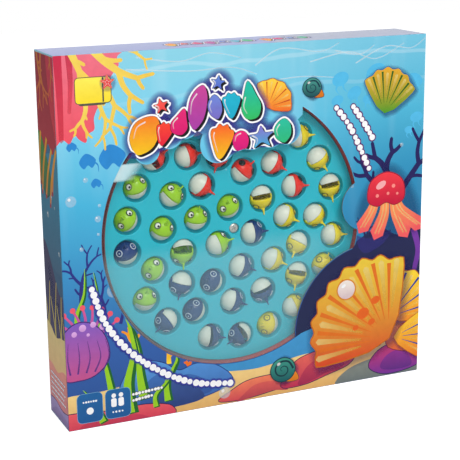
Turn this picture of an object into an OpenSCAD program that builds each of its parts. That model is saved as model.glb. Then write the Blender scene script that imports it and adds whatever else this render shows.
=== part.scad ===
// Boxed magnetic fishing game: a motor-driven turntable of fish in its retail carton.
// The carton stands upright. Its front faces -Y, its tuck end faces -X, and z = 0 is its bottom.

/* [Carton] */
// Room beside the base for the fishing poles
pole_room = 27.7; // [25:0.1:60]
// Room above the base
head_room = 3; // [0.5:0.1:30]
// Depth of the carton from front to back
carton_d = 58; // [57.6:0.1:64]
// Thickness of the corrugated card
card_t = 1.2; // [0.8:0.1:1.4]
// Gap between loose card edges
card_gap = 0.2; // [0.15:0.05:0.4]
// Length of the dust flaps
dust_flap_len = 62; // [30:1:120]
// Length of the tuck on the end flap
tuck_len = 17; // [10:1:18]
// Lean of the tuck away from the back panel, in degrees
tuck_lean = 11; // [11:1:14]
// Corner radius of the tuck
tuck_corner_r = 12; // [4:1:15]

/* [Window] */
// Radius of the round window
window_r = 130.2; // [120:0.2:131]
// Sideways offset of the window's centre from the turntable's axis
window_dx = -3.5; // [-5:0.5:3]
// Height of the window's centre above the turntable's axis
window_dz = 1.6; // [-2:0.1:4]
// Radius of the round corner of card that reaches into the window at the lower right
corner_disc_r = 83.6; // [60:0.2:95]
// Radius of the round tab of card at the window's right
side_tab_r = 25.5; // [15:0.5:35]
// Thickness of the clear film
film_t = 0.3; // [0.1:0.05:0.4]
// Overlap of the film behind the card round the window
film_lap = 8; // [4:1:10]
// Corner radius of the film
film_corner_r = 6; // [2:1:12]

/* [Base] */
// Width of the base's rim outside the well
rim_w = 38.7; // [37.5:0.1:46]
// Corner radius of the base
base_corner_r = 40; // [36:1:42]
// Inward step of the base's foot, which leaves room for the carton's tuck
foot_step = 14.5; // [14.2:0.1:16]
// Height of the foot
foot_h = 6.5; // [6:0.1:8]
// Wall of the base moulding
base_wall = 2.2; // [1.6:0.1:3]
// Gap between the base and the dust flaps beside it
base_side_gap = 0.5; // [0.3:0.1:1.5]
// Height of the film above the turntable's face
film_rise = 9.5; // [9.3:0.1:10.5]
// Gap between the film and the base's rim
rim_film_gap = 1; // [0.6:0.1:4]
// Radius of the round bead along the rim of the well
rim_bead_r = 1.1; // [0.6:0.1:1.1]
// Gap between the turntable and the wall of the well
well_gap = 1.1; // [0.6:0.1:2]
// Depth of the track floor below the turntable's face
track_depth = 27; // [26:0.1:28]
// Thickness of the track floor
track_t = 2; // [1.2:0.1:2.5]
// Height of the low rails that the tails run along
rail_h = 1.4; // [0.6:0.1:2]
// Width of the rails and ramps
rail_w = 5; // [3:0.5:7]
// Length of a ramp along its track
ramp_len = 17; // [12:1:20]
// Gap between the ramps and the tails
ramp_gap = 0.5; // [0.3:0.1:1]
// Thickness of the back cover
cover_t = 2; // [1.5:0.1:2.4]
// Gap between the back cover and the carton's back
cover_back_gap = 0.3; // [0.2:0.05:0.6]
// Gap between the back cover and the wall round it
cover_gap = 0.3; // [0.2:0.05:0.6]
// Radius of the screw bosses of the base
boss_r = 4; // [3:0.1:5]
// Radius of the pilot hole in each boss
boss_hole_r = 1.3; // [0.8:0.1:1.6]

/* [Turntable] */
// Radius of the turntable. The game and its carton keep their proportions to it
disc_r = 128.5; // [105:0.5:150]
// Thickness of its plate
disc_t = 2.2; // [1.6:0.1:3]
// Depth of the stiffening skirt round its edge
skirt_h = 7; // [4:0.5:10]
// Inner radius of a socket
socket_r = 13.2; // [12.8:0.1:13.3]
// Wall of a socket
socket_wall = 1; // [0.8:0.1:1.1]
// Radius of the rounded lip of a socket
lip_r = 1.1; // [0.6:0.1:1.2]
// Radius of the ring seat that a fish rests in
seat_r = 9.5; // [9.2:0.1:9.8]
// Thickness of the ring seat
seat_t = 1.5; // [1:0.1:2]
// Radius of the hub
hub_r = 6.3; // [5.6:0.1:6.4]

/* [Drive] */
// Radius of the output shaft that turns the turntable
shaft_r = 3.5; // [3:0.1:4]
// Running gap round the output shaft, each side
shaft_gap = 0.05; // [0.02:0.01:0.1]
// Width of the shaft's hexagon across its flats
hex_w = 6.6; // [6:0.1:7.2]
// Gap between the hexagon and the hub, each side
hex_gap = 0.1; // [0.05:0.05:0.2]
// Height of the hexagon
hex_h = 12; // [6:0.5:16]
// Gap above and below the shaft's collar
end_play = 0.3; // [0.2:0.05:0.6]
// Radius of the centre screw's head
screw_head_r = 4.5; // [4:0.1:5]
// Height of the centre screw's head
screw_head_h = 1.9; // [1.4:0.1:2.2]
// Radius of the centre screw's shank
screw_shank_r = 1.6; // [1.2:0.1:1.9]
// Length of the centre screw's shank
screw_len = 20; // [16:1:23]
// Length of the motor unit
motor_len = 72; // [60:1:86]
// Width of the motor unit
motor_w = 34; // [26:1:44]
// Travel of the power switch
switch_travel = 4; // [2:0.5:6]
// Length of the switch's knob
switch_knob_len = 8; // [6:0.5:12]
// Length of a battery
battery_len = 50.5; // [44.5:0.5:50.5]
// Diameter of a battery
battery_d = 14.5; // [10.5:0.5:14.5]

/* [Fish] */
// Radius of a fish's head
head_r = 11.1; // [10.4:0.1:11.3]
// Depth of the head's centre below the turntable's face
head_depth = 6; // [5:0.1:6.5]
// Length from the head's centre to the tail's tip
tail_len = 16.2; // [14:0.1:16.4]
// Radius of the tail
tail_r = 2.6; // [1.8:0.1:3]
// Reach of the back fin from the head's centre
fin_reach = 16; // [14:0.1:16.4]
// Thickness of the back fin
fin_t = 1.5; // [1:0.1:2]
// Gap between the lower jaw and the head
jaw_gap = 0.35; // [0.2:0.05:0.5]
// Radius of an eye
eye_r = 2.7; // [1.8:0.1:3]
// Gap between a fish and its seat
fish_gap = 0.3; // [0.2:0.05:0.5]

/* [Poles] */
// Length of a fishing pole
pole_len = 246; // [180:1:300]
// Radius of a pole's grip
grip_r = 6; // [4.5:0.1:6.5]
// Length of a pole's grip
grip_len = 78; // [50:1:100]
// Radius of a pole where it leaves its grip
rod_foot_r = 3.2; // [2.4:0.1:4]
// Radius of a pole at its tip
rod_tip_r = 1.9; // [1.4:0.1:2.2]
// Distance between the front and the back poles
pole_pitch = 20; // [13.2:0.1:30]

/* [Hidden] */
$fn = 64;
eps = 0.01;
fish_count = 45;
function two_digits(i) = str(i < 10 ? "0" : "", i);

// Rings of sockets: radius, then the angles in one third of the turn, which repeats three times
rings = [
    [20.9, [101]],
    [39.1, [41]],
    [54.3, [6, 79]],
    [71.3, [28.5, 54.7, 101.5]],
    [85.8, [2, 81]],
    [106.6, [16.3, 33.2, 49.9, 66.5, 93.3, 110]]
];

// The game's sizes are laid out for the turntable that these rings need, and then follow disc_r
ring_margin = 21.9;
layout_r = rings[len(rings) - 1][0] + ring_margin;
game_scale = disc_r / layout_r;
well_r = layout_r + well_gap;
base_side = 2 * (well_r + rim_w);
base_room = base_side * game_scale;

// The carton closes round the base and the poles
end_stack = 2 * card_t + card_gap;
carton_w = 2 * end_stack + base_side_gap + base_room + pole_room;
carton_h = 2 * card_t + base_room + head_room;

// The turntable's axis. The base stands on the carton's floor, against the dust flaps.
axis_x = -carton_w / 2 + end_stack + base_side_gap + base_room / 2;
axis_z = card_t + base_room / 2;
face_y = -carton_d / 2 + card_t + film_t + film_rise * game_scale;

// Heights along the turntable's axis, from its face, positive towards the player
rim_top = film_rise - rim_film_gap - rim_bead_r;
cover_back = -(carton_d / 2 - card_t - cover_back_gap - face_y) / game_scale;
cover_front = cover_back + cover_t;
track_top = -track_depth;
track_back = track_top - track_t;
fish_z = -head_depth;
tail_tip = fish_z - tail_len;
motor_top = track_back - 0.4;
collar_low = motor_top + end_play;
hub_low = track_top + 1;
head_low = -screw_head_h;
floor_hole_r = hub_r + 1.5;

// The edge of the seat lies a clearance off the round head
seat_drop = sqrt(pow(head_r + fish_gap, 2) - seat_r * seat_r);
seat_top = fish_z - seat_drop;
socket_bottom = seat_top - seat_t;

// Ramps on each ring's track
ramps_per_ring = [3, 5, 7, 9, 11, 13];
sockets = [for (ring = rings) for (turn = [0:2]) for (a = ring[1]) [ring[0], a + 120 * turn]];

// How each fish lies: the way its fin points, its lean towards the player and its open jaw,
// all in degrees, and its colour. One entry for each socket, in the order of the rings.
green = "yellowgreen";
blue = "navy";
red = "red";
yellow = "gold";
fish = [
    [120, 28, 0, green], [15, 0, 0, green], [3, 0, 0, blue], [-85, 0, 20, yellow],
    [88, 17, 0, green], [-20, 0, 0, blue], [-25, 0, 0, yellow], [50, 17, 0, red], [-37, 0, 0, red],
    [-92, 0, 32, green], [149, 22, 0, blue], [-25, 0, 0, yellow], [0, 4, 0, red], [-30, 0, 0, red],
    [-110, 0, 0, red], [50, 20, 0, green], [75, 30, 0, green], [-107, 0, 0, blue],
    [-20, 0, 0, blue], [-70, 0, 12, blue], [-122, 6, 0, yellow], [-47, 0, 0, yellow],
    [30, 0, 0, red], [10, 0, 0, red], [144, 28, 0, green], [145, 20, 0, blue],
    [-104, 0, 20, yellow], [-82, 0, 20, yellow], [-55, 0, 0, yellow], [2, 0, 0, yellow],
    [-20, 0, 0, red], [-60, 0, 0, red], [140, 15, 0, green], [30, 0, 24, red], [110, 20, 0, green],
    [143, 28, 0, green], [112, 20, 0, blue], [88, 18, 0, green], [-147, 4, 0, blue],
    [-10, 0, 10, blue], [-155, 0, 18, blue], [168, 20, 0, yellow], [16, 0, 0, yellow],
    [77, 16, 0, yellow], [-3, 0, 0, yellow]
];

// Card that reaches into the window from above: round lobes, given from the turntable's axis as
// centre x, centre z and radius
tongue_lobes = [
    [-88.5, 83, 12], [-67, 96, 13], [-51, 104, 13], [-19.5, 84, 18], [-1, 91, 16],
    [14, 91, 16], [33, 91, 15.5], [50, 91, 14]
];
tongue_top = 150;
tongue_right_x = 66;
tongue_right_z = 104;
// Centres of the other two pieces of card that reach into the window
corner_disc_at = [142.1, -112];
side_tab_at = [134.6, 11];

module game() { translate([axis_x, face_y, axis_z]) rotate([90, 0, 0]) scale(game_scale) children(); }

module rounded_rect(w, h, r) {
    square([w - 2 * r, h], center = true);
    square([w, h - 2 * r], center = true);
    for (sx = [-1, 1], sy = [-1, 1]) translate([sx * (w / 2 - r), sy * (h / 2 - r)]) circle(r);
}

module ring(outer, inner, low, high) {
    translate([0, 0, low]) difference() {
        cylinder(r = outer, h = high - low);
        translate([0, 0, -1]) cylinder(r = inner, h = high - low + 2);
    }
}

// The die-cut window, from the turntable's axis
module window_outline() {
    difference() {
        translate([window_dx, window_dz]) circle(window_r, $fn = 180);
        translate(corner_disc_at) circle(corner_disc_r, $fn = 120);
        translate(side_tab_at) circle(side_tab_r);
        for (lobe = tongue_lobes) translate([lobe[0], lobe[1]]) circle(lobe[2]);
        polygon([for (lobe = tongue_lobes) [lobe[0], lobe[1]],
                 [tongue_right_x, tongue_right_z], [tongue_right_x, tongue_top],
                 [tongue_lobes[0][0] - 30, tongue_top], [tongue_lobes[0][0] - 30, tongue_lobes[0][1]]]);
    }
}

module dust_flap(x) {
    depth = carton_d - 2 * card_t - 6.5;
    translate([x, -carton_d / 2 + card_t + 0.5, 0]) {
        translate([0, 0, card_t - eps]) cube([card_t, depth, dust_flap_len]);
        translate([0, 0, carton_h - card_t - dust_flap_len + eps]) cube([card_t, depth, dust_flap_len]);
    }
}

module carton() color("deepskyblue") {
    front_y = -carton_d / 2;
    difference() {
        translate([-carton_w / 2, front_y, 0]) cube([carton_w, card_t, carton_h]);
        game() translate([0, 0, film_rise]) linear_extrude((film_t + card_t + 1) / game_scale)
            window_outline();
    }
    translate([-carton_w / 2, -front_y - card_t, 0]) cube([carton_w, card_t, carton_h]);
    for (z = [0, carton_h - card_t]) translate([-carton_w / 2, front_y, z])
        cube([carton_w, carton_d, card_t]);
    translate([carton_w / 2 - card_t, front_y, 0]) cube([card_t, carton_d, carton_h]);
    dust_flap(-carton_w / 2 + card_t + card_gap);
    dust_flap(carton_w / 2 - 2 * card_t - card_gap);
}

module end_flap() color("deepskyblue") {
    bottom = card_t + card_gap;
    h = carton_h - 2 * bottom;
    depth = carton_d - 2 * card_t - 2 * card_gap;
    translate([-carton_w / 2, -carton_d / 2 + card_t + card_gap, bottom]) {
        cube([card_t, depth, h]);
        translate([0, depth, h / 2]) rotate([0, 0, -tuck_lean]) rotate([90, 0, 0])
            linear_extrude(card_t) difference() {
                translate([card_t * sin(tuck_lean), -h / 2]) square([tuck_len, h]);
                for (s = [-1, 1]) translate([tuck_len, s * h / 2]) mirror([0, s < 0 ? 1 : 0])
                    translate([-tuck_corner_r, -tuck_corner_r]) difference() {
                        square(tuck_corner_r + 1);
                        circle(tuck_corner_r);
                    }
            }
    }
}

module window_film() color("white", 0.3)
    game() translate([window_dx, window_dz, film_rise]) linear_extrude(film_t / game_scale)
        rounded_rect(2 * (window_r + film_lap), 2 * (window_r + film_lap), film_corner_r);

// A ramp: a low wedge across a track, at radius r
module ramp(r, angle) {
    top = tail_tip - ramp_gap - track_top;
    flat = ramp_len / 3;
    rotate([0, 0, angle]) translate([r - rail_w / 2, 0, track_top - eps]) rotate([90, 0, 90])
        linear_extrude(rail_w)
            polygon([[-ramp_len / 2, 0], [ramp_len / 2, 0], [flat / 2, top], [-flat / 2, top]]);
}

// The base's outline, moved inwards
module base_outline(inset) {
    rounded_rect(base_side - 2 * inset, base_side - 2 * inset, base_corner_r - inset);
}

module base_wall_ring(inset, low, high) {
    translate([0, 0, low]) linear_extrude(high - low) difference() {
        base_outline(inset);
        base_outline(inset + base_wall);
    }
}

foot_top = cover_back + foot_h;

// A boss at each side and corner, except where the battery bay is
boss_places = [for (a = [0, 45, 90, 135, 180, 270, 315])
    (a % 90 == 0 ? well_r + 11.5 : well_r + 46) * [cos(a), sin(a)]];
switch_y = -100;
switch_z = face_y / game_scale;
switch_slot = [switch_knob_len + switch_travel + 1, 6];
switch_plate = [switch_knob_len + 10, 12, 1.5];

module switch_guides() {
    lip = 1.2;
    reach = switch_plate[2] + 2 * 0.3 + lip;
    length = switch_plate[0] + switch_travel + 4;
    for (s = [-1, 1]) translate([base_side / 2 - base_wall - reach, switch_y - length / 2,
                                 switch_z + s * (switch_plate[1] / 2 + 0.3) - (s < 0 ? 1.5 : 0)]) {
        cube([reach + 0.5, length, 1.5]);
        translate([0, 0, s < 0 ? 0 : -1.5]) cube([lip, length, 3]);
    }
}

module base_tray() color("firebrick") game() {
    difference() {
        union() {
            base_wall_ring(0, foot_top, rim_top);
            base_wall_ring(foot_step, cover_back + cover_gap, foot_top);
            translate([0, 0, foot_top]) linear_extrude(base_wall) difference() {
                base_outline(0);
                base_outline(foot_step + base_wall);
            }
            translate([0, 0, rim_top - base_wall]) linear_extrude(base_wall) difference() {
                base_outline(base_wall / 2);
                circle(well_r + base_wall / 2, $fn = 180);
            }
            ring(well_r + base_wall, well_r, track_back, rim_top);
            rotate_extrude($fn = 180) translate([well_r + rim_bead_r, rim_top]) circle(rim_bead_r, $fn = 32);
            ring(well_r + base_wall / 2, floor_hole_r, track_back, track_top);
            for (r = rings) ring(r[0] + rail_w / 2, r[0] - rail_w / 2, track_top - eps, track_top + rail_h);
            for (p = boss_places) translate([p[0], p[1], cover_front])
                cylinder(r = boss_r, h = rim_top - base_wall / 2 - cover_front);
            switch_guides();
        }
        for (p = boss_places) translate([p[0], p[1], cover_front - 1]) cylinder(r = boss_hole_r, h = 14);
        translate([base_side / 2 - 4, switch_y - switch_slot[0] / 2, switch_z - switch_slot[1] / 2])
            cube([8, switch_slot[0], switch_slot[1]]);
    }
    for (i = [0:len(rings) - 1], k = [0:ramps_per_ring[i] - 1])
        ramp(rings[i][0], 360 * k / ramps_per_ring[i] + 13 * i);
}

bay_size = [battery_len + 4, 2 * battery_d + 2];
bay_inset = 32.3;
bay_at = -(base_side / 2 - foot_step - base_wall - cover_gap - bay_inset);
bay_place = [bay_at, bay_at];
bay_depth = battery_d + 1;
door_t = 1.6;
door_lap = 2.5;

module base_cover() color("firebrick") game() {
    bay_top = cover_back + door_t + bay_depth;
    difference() {
        union() {
            translate([0, 0, cover_back]) linear_extrude(cover_t)
                base_outline(foot_step + base_wall + cover_gap);
            translate([bay_place[0], bay_place[1], cover_back]) linear_extrude(bay_top - cover_back + 1.4)
                rounded_rect(bay_size[0] + 3, bay_size[1] + 3, 3);
        }
        translate([bay_place[0], bay_place[1], cover_back - 1]) linear_extrude(bay_top - cover_back + 1)
            square(bay_size, center = true);
        translate([bay_place[0], bay_place[1], cover_back - 1]) linear_extrude(door_t + 1)
            rounded_rect(bay_size[0] + 2 * door_lap, bay_size[1] + 2 * door_lap, 2);
        for (p = boss_places) translate([p[0], p[1], cover_back - 1]) {
            cylinder(r = boss_hole_r + 0.4, h = cover_t + 2);
            cylinder(r = boss_r - 0.6, h = 2);
        }
    }
}

module battery_door() color("firebrick") game() translate([bay_place[0], bay_place[1], cover_back]) {
    difference() {
        linear_extrude(door_t - 0.1)
            rounded_rect(bay_size[0] + 2 * door_lap - 0.4, bay_size[1] + 2 * door_lap - 0.4, 2);
        translate([bay_size[0] / 2 - 4, 0, -1]) cylinder(r = 5, h = 1.6);
    }
}

module socket_cut() {
    translate([0, 0, seat_top]) cylinder(r = socket_r, h = 1 - seat_top);
    translate([0, 0, socket_bottom - 1]) cylinder(r = seat_r, h = 2 + seat_t);
    rotate_extrude() difference() {
        translate([socket_r - 0.5, -lip_r]) square([lip_r + 0.5, lip_r + 1]);
        translate([socket_r + lip_r, -lip_r]) circle(lip_r, $fn = 32);
        translate([socket_r + lip_r, -eps]) square([lip_r, lip_r + 2]);
    }
}

module turntable() color("turquoise") game() {
    difference() {
        union() {
            translate([0, 0, -disc_t]) cylinder(r = layout_r, h = disc_t, $fn = 180);
            ring(layout_r, layout_r - disc_t, -skirt_h, -disc_t / 2);
            for (s = sockets) rotate([0, 0, s[1]]) translate([s[0], 0, socket_bottom])
                cylinder(r = socket_r + socket_wall, h = -socket_bottom - disc_t / 2);
            translate([0, 0, hub_low]) cylinder(r = hub_r, h = -hub_low - disc_t / 2);
        }
        for (s = sockets) rotate([0, 0, s[1]]) translate([s[0], 0, 0]) socket_cut();
        translate([0, 0, hub_low - 1]) hexagon(hex_w + 2 * hex_gap, hex_h + 1.5);
        translate([0, 0, hub_low]) cylinder(r = screw_shank_r + 0.4, h = 2 - hub_low);
        translate([0, 0, head_low - 0.1]) cylinder(r = screw_head_r + 0.6, h = 10);
    }
}

module centre_screw() color("silver") game() {
    difference() {
        union() {
            translate([0, 0, head_low]) cylinder(r = screw_head_r, h = screw_head_h * 0.55);
            translate([0, 0, head_low + screw_head_h * 0.55])
                cylinder(r1 = screw_head_r, r2 = screw_head_r - 1.3, h = screw_head_h * 0.45);
            translate([0, 0, head_low - screw_len]) cylinder(r = screw_shank_r, h = screw_len + 0.5);
        }
        for (a = [30, 120]) rotate([0, 0, a]) translate([-2.3, -0.45, head_low + screw_head_h - 1.1])
            cube([4.6, 0.9, 2]);
    }
}

module hexagon(across, h) { cylinder(r = across / sqrt(3), h = h, $fn = 6); }

motor_back_x = -20;
shaft_low = cover_front + 2;

module gear_motor() color("whitesmoke") game() {
    ear_x = motor_back_x + motor_len - 16;
    difference() {
        union() {
            translate([motor_back_x + motor_len / 2, 0, cover_front])
                linear_extrude(motor_top - cover_front) rounded_rect(motor_len, motor_w, 4);
            for (s = [-1, 1]) translate([ear_x, s * (motor_w / 2 + 2), cover_front])
                cylinder(r = 4.5, h = 2.5);
        }
        translate([0, 0, shaft_low - end_play]) cylinder(r = shaft_r + shaft_gap, h = 40);
        for (s = [-1, 1]) translate([ear_x, s * (motor_w / 2 + 3), cover_front - 1])
            cylinder(r = 1.4, h = 6);
    }
}

// The motor's output shaft: a collar carries the hub and a hexagon turns it
module output_shaft() color("white") game() difference() {
    union() {
        translate([0, 0, shaft_low]) cylinder(r = shaft_r, h = collar_low - shaft_low + 0.5);
        translate([0, 0, collar_low]) cylinder(r = hub_r - 0.3, h = hub_low - 0.1 - collar_low);
        translate([0, 0, hub_low - 0.5]) hexagon(hex_w, hex_h + 0.5);
    }
    translate([0, 0, head_low - screw_len - 1]) cylinder(r = screw_shank_r + 0.05, h = 60);
}

module power_switch() color("dimgray") game() {
    translate([base_side / 2 - base_wall - 0.3 - switch_plate[2],
               switch_y - switch_travel / 2 - switch_plate[0] / 2, switch_z - switch_plate[1] / 2])
        cube([switch_plate[2], switch_plate[0], switch_plate[1]]);
    difference() {
        translate([base_side / 2 - base_wall - 1, switch_y - switch_travel / 2 - switch_knob_len / 2,
                   switch_z - switch_slot[1] / 2 + 0.4])
            cube([base_wall + 3.2, switch_knob_len, switch_slot[1] - 0.8]);
        for (k = [-1:1]) translate([base_side / 2 + 2.2, switch_y - switch_travel / 2 + 2 * k, 0])
            rotate([0, 0, 45]) cube([0.9, 0.9, 60], center = true);
    }
}

module fishing_pole() {
    cylinder(r = grip_r, h = grip_len * 0.12);
    translate([0, 0, grip_len * 0.12]) cylinder(r1 = grip_r, r2 = grip_r - 1.2, h = grip_len * 0.3);
    translate([0, 0, grip_len * 0.42]) cylinder(r1 = grip_r - 1.2, r2 = grip_r, h = grip_len * 0.4);
    translate([0, 0, grip_len * 0.82]) cylinder(r1 = grip_r, r2 = rod_foot_r, h = grip_len * 0.18);
    translate([0, 0, grip_len - 1]) cylinder(r1 = rod_foot_r, r2 = rod_tip_r, h = pole_len - grip_len - 4);
    translate([0, 0, pole_len - 5]) rotate([90, 0, 0]) difference() {
        translate([0, 0, -1.2]) cylinder(r = 3.6, h = 2.4);
        translate([0, 0, -2]) cylinder(r = 1.6, h = 4);
    }
}

pole_colours = ["orangered", "gold", "limegreen", "dodgerblue"];
bay_left = axis_x + base_room / 2;
bay_right = carton_w / 2 - end_stack;
module placed_pole(i) color(pole_colours[i])
    translate([(bay_left + bay_right) / 2 + (i % 2 - 0.5) * (bay_right - bay_left - 2 * grip_r - 0.6),
               (floor(i / 2) - 0.5) * pole_pitch, card_t]) fishing_pole();

module half_space(x_low, x_high) { translate([x_low, -20, -20]) cube([x_high - x_low, 40, 40]); }

// A ball whose seam and poles stay clear of the cuts
module ball(r) { rotate([90, 0, 37]) sphere(r = r); }

jaw_r = head_r - 0.6;
jaw_w = head_r - 1.4;
jaw_floor = -3.2;
chin_floor = jaw_floor - 0.6;
pivot = [-2.2, -2];
fin_z = head_depth + 0.4;
mouth_r = 7.2;
mouth_depth = 3.5;
neck_r = 4.4;
neck_len = 12.2;
eye_turn = 42;
eye_lift = 28;

module lower_jaw(open) {
    translate([pivot[0], 0, pivot[1]]) rotate([0, -open, 0]) translate([-pivot[0], 0, -pivot[1]]) {
        intersection() {
            ball(jaw_r);
            translate([-20, -jaw_w, jaw_floor]) cube([20 - jaw_gap, 2 * jaw_w, 40]);
        }
        translate([pivot[0], jaw_w + 0.6, pivot[1]]) rotate([90, 0, 0])
            cylinder(r = 1.1, h = 2 * jaw_w + 1.2);
    }
}

module fish_head() {
    difference() {
        intersection() {
            ball(head_r);
            half_space(-3.6, 20);
        }
        translate([-20, -jaw_w - jaw_gap, chin_floor]) cube([20, 2 * (jaw_w + jaw_gap), 40]);
        translate([-1, 0, 0]) rotate([0, 90, 0]) cylinder(r = mouth_r, h = mouth_depth + 1);
    }
    for (y = [-4.5:3:4.5]) translate([0.4, y - 0.4, -7]) cube([mouth_depth + 0.3, 0.8, 13]);
    for (s = [-1, 1]) rotate([0, 0, eye_turn * s]) rotate([0, -eye_lift, 0]) translate([head_r - 2, 0, 0])
        ball(eye_r + 0.35);
    translate([0, fin_t / 2, 0]) rotate([90, 0, 0]) linear_extrude(fin_t)
        polygon([[7, -1.5], [10.3, 1.5], [11.6, fin_z], [fin_reach, fin_z + 0.2],
                 [fin_reach, fin_z + 0.9], [7, fin_z + 1.6]]);
}

module one_fish(i) {
    pose = fish[i];
    color(pose[3]) game()
        rotate([0, 0, sockets[i][1]]) translate([sockets[i][0], 0, fish_z])
        rotate([0, 0, pose[0] - sockets[i][1]]) rotate([0, -pose[1], 0]) {
            fish_head();
            lower_jaw(pose[2]);
            translate([0, 0, -neck_len]) cylinder(r1 = tail_r, r2 = neck_r, h = neck_len - head_r + 1);
            translate([0, 0, -tail_len]) cylinder(r = tail_r, h = tail_len - neck_len + eps);
        }
}

carton();
end_flap();
window_film();
base_tray();
base_cover();
battery_door();
turntable();
centre_screw();
gear_motor();
output_shaft();
power_switch();
for (i = [0:3]) placed_pole(i);
for (i = [0:fish_count - 1]) one_fish(i);
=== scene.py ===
import math
import random

import bmesh
import bpy
from mathutils import Matrix, Vector
from mathutils.geometry import convex_hull_2d, delaunay_2d_cdt


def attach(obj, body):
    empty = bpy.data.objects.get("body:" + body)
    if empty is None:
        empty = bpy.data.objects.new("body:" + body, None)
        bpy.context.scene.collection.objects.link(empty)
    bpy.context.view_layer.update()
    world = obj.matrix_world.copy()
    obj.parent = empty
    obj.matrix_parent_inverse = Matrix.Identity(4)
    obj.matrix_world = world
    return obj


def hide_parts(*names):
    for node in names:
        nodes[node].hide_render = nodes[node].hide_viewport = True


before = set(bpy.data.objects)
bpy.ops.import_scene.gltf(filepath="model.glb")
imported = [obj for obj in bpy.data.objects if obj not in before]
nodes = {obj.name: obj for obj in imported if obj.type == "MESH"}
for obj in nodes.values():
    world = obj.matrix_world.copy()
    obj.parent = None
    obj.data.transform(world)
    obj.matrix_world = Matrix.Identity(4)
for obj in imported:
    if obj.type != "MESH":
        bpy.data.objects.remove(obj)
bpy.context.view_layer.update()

scene = bpy.context.scene
mm = 0.001
draw = random.Random(7)
print("frame is in:", len(nodes), "nodes")


# shader helpers

class Wire:
    # one output socket; sums on it add Math nodes
    def __init__(self, paint, socket):
        self.paint = paint
        self.socket = socket

    def __add__(self, other):
        return self.paint.maths("ADD", self, other)

    def __sub__(self, other):
        return self.paint.maths("SUBTRACT", self, other)

    def __rsub__(self, other):
        return self.paint.maths("SUBTRACT", other, self)

    def __mul__(self, other):
        return self.paint.maths("MULTIPLY", self, other)

    def __truediv__(self, other):
        return self.paint.maths("DIVIDE", self, other)

    __radd__ = __add__
    __rmul__ = __mul__


class Paint:
    # the calls that fill the tree of a new material, or of the world
    def __init__(self, name, world=None):
        self.material = world or bpy.data.materials.new(name)
        self.material.use_nodes = True
        self.tree = self.material.node_tree
        self.shader = self.tree.nodes["Background" if world else "Principled BSDF"]

    def node(self, kind, settings=None, sockets=None, out=0):
        new = self.tree.nodes.new(kind)
        for key, value in (settings or {}).items():
            if key == "stops":
                ramp = new.color_ramp.elements
                while len(ramp) < len(value):
                    ramp.new(1.0)
                for stop, (place, colour) in zip(ramp, value):
                    stop.position = place
                    stop.color = colour
            else:
                setattr(new, key, value)
        for key, value in (sockets or {}).items():
            self.join(new.inputs[key], value)
        return Wire(self, new.outputs[out])

    def join(self, socket, value):
        if isinstance(value, Wire):
            self.tree.links.new(value.socket, socket)
        else:
            socket.default_value = value

    def maths(self, operation, a, b):
        return self.node("ShaderNodeMath", {"operation": operation}, {0: a, 1: b})

    def mix(self, amount, a, b):
        return self.node("ShaderNodeMix", {"data_type": "RGBA"}, {0: amount, 6: a, 7: b}, out=2)

    def spot(self, scale=(1, 1, 1), place=(0, 0, 0), turn=(0, 0, 0)):
        # Object coordinates through a Mapping node
        whole = self.node("ShaderNodeTexCoord", out=3)
        return self.node("ShaderNodeMapping", {}, {"Vector": whole, "Scale": scale, "Location": place,
                                                   "Rotation": turn})

    def axis(self, which):
        return self.node("ShaderNodeSeparateXYZ", {}, {0: self.spot()}, out="XYZ".index(which))

    def noise(self, scale, detail=2.0, rough=0.5, spot=None):
        return self.node("ShaderNodeTexNoise", {}, {"Vector": spot or self.spot(), "Scale": scale,
                                                    "Detail": detail, "Roughness": rough})

    def rise(self, value, low, high):
        # smooth step from 0 at low to 1 at high
        return self.node("ShaderNodeMapRange", {"interpolation_type": "SMOOTHSTEP"},
                         {"Value": value, "From Min": low, "From Max": high})

    def bump(self, height, strength, distance):
        self.join(self.shader.inputs["Normal"],
                  self.node("ShaderNodeBump", {}, {"Height": height, "Strength": strength,
                                                   "Distance": distance}))

    def finish(self, **sockets):
        for key, value in sockets.items():
            self.join(self.shader.inputs[key.replace("_", " ")], value)
        return self.material


def rgb(r, g, b, alpha=1.0):
    # screen values from 0 to 255 as a linear colour
    def linear(v):
        v = v / 255
        return v / 12.92 if v <= 0.04045 else ((v + 0.055) / 1.055) ** 2.4
    return (linear(r), linear(g), linear(b), alpha)


def shade(colour, amount):
    return tuple(min(1.0, c * amount) for c in colour[:3]) + (1.0,)


fullWhite = rgb(255, 255, 255)


# camera, room and lights

shot = {
    "place": (-487.5, -1081.3, 469.2),     # mm, in the part's own frame
    "azimuth": -23.83, "elevation": 14.51, "roll": -0.60,
    "focal": 1284.26, "frame": 460,        # pixels
    "sensor": 36.0,
}


def setCamera():
    a, e, r = (math.radians(shot[k]) for k in ("azimuth", "elevation", "roll"))
    back = Vector((math.sin(a) * math.cos(e), -math.cos(a) * math.cos(e), math.sin(e)))
    right = Vector((math.cos(a), math.sin(a), 0))
    up = back.cross(right)
    tiltRight = right * math.cos(r) + up * math.sin(r)
    tiltUp = up * math.cos(r) - right * math.sin(r)
    turn = Matrix((tiltRight, tiltUp, back)).transposed().to_4x4()
    lens = bpy.data.cameras.new("shotCamera")
    lens.sensor_width = shot["sensor"]
    lens.sensor_fit = "HORIZONTAL"
    lens.lens = shot["focal"] / shot["frame"] * shot["sensor"]
    lens.clip_start, lens.clip_end = 0.05, 40
    eye = bpy.data.objects.new("shotCamera", lens)
    scene.collection.objects.link(eye)
    eye.matrix_world = Matrix.Translation(Vector(shot["place"]) * mm) @ turn
    scene.camera = eye


room = {
    "floorSize": 7.0, "floorTones": (0.62, 0.66), "floorDrift": 0.06, "floorGlow": 0.80,
    "skyLight": 0.52,
}


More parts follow.
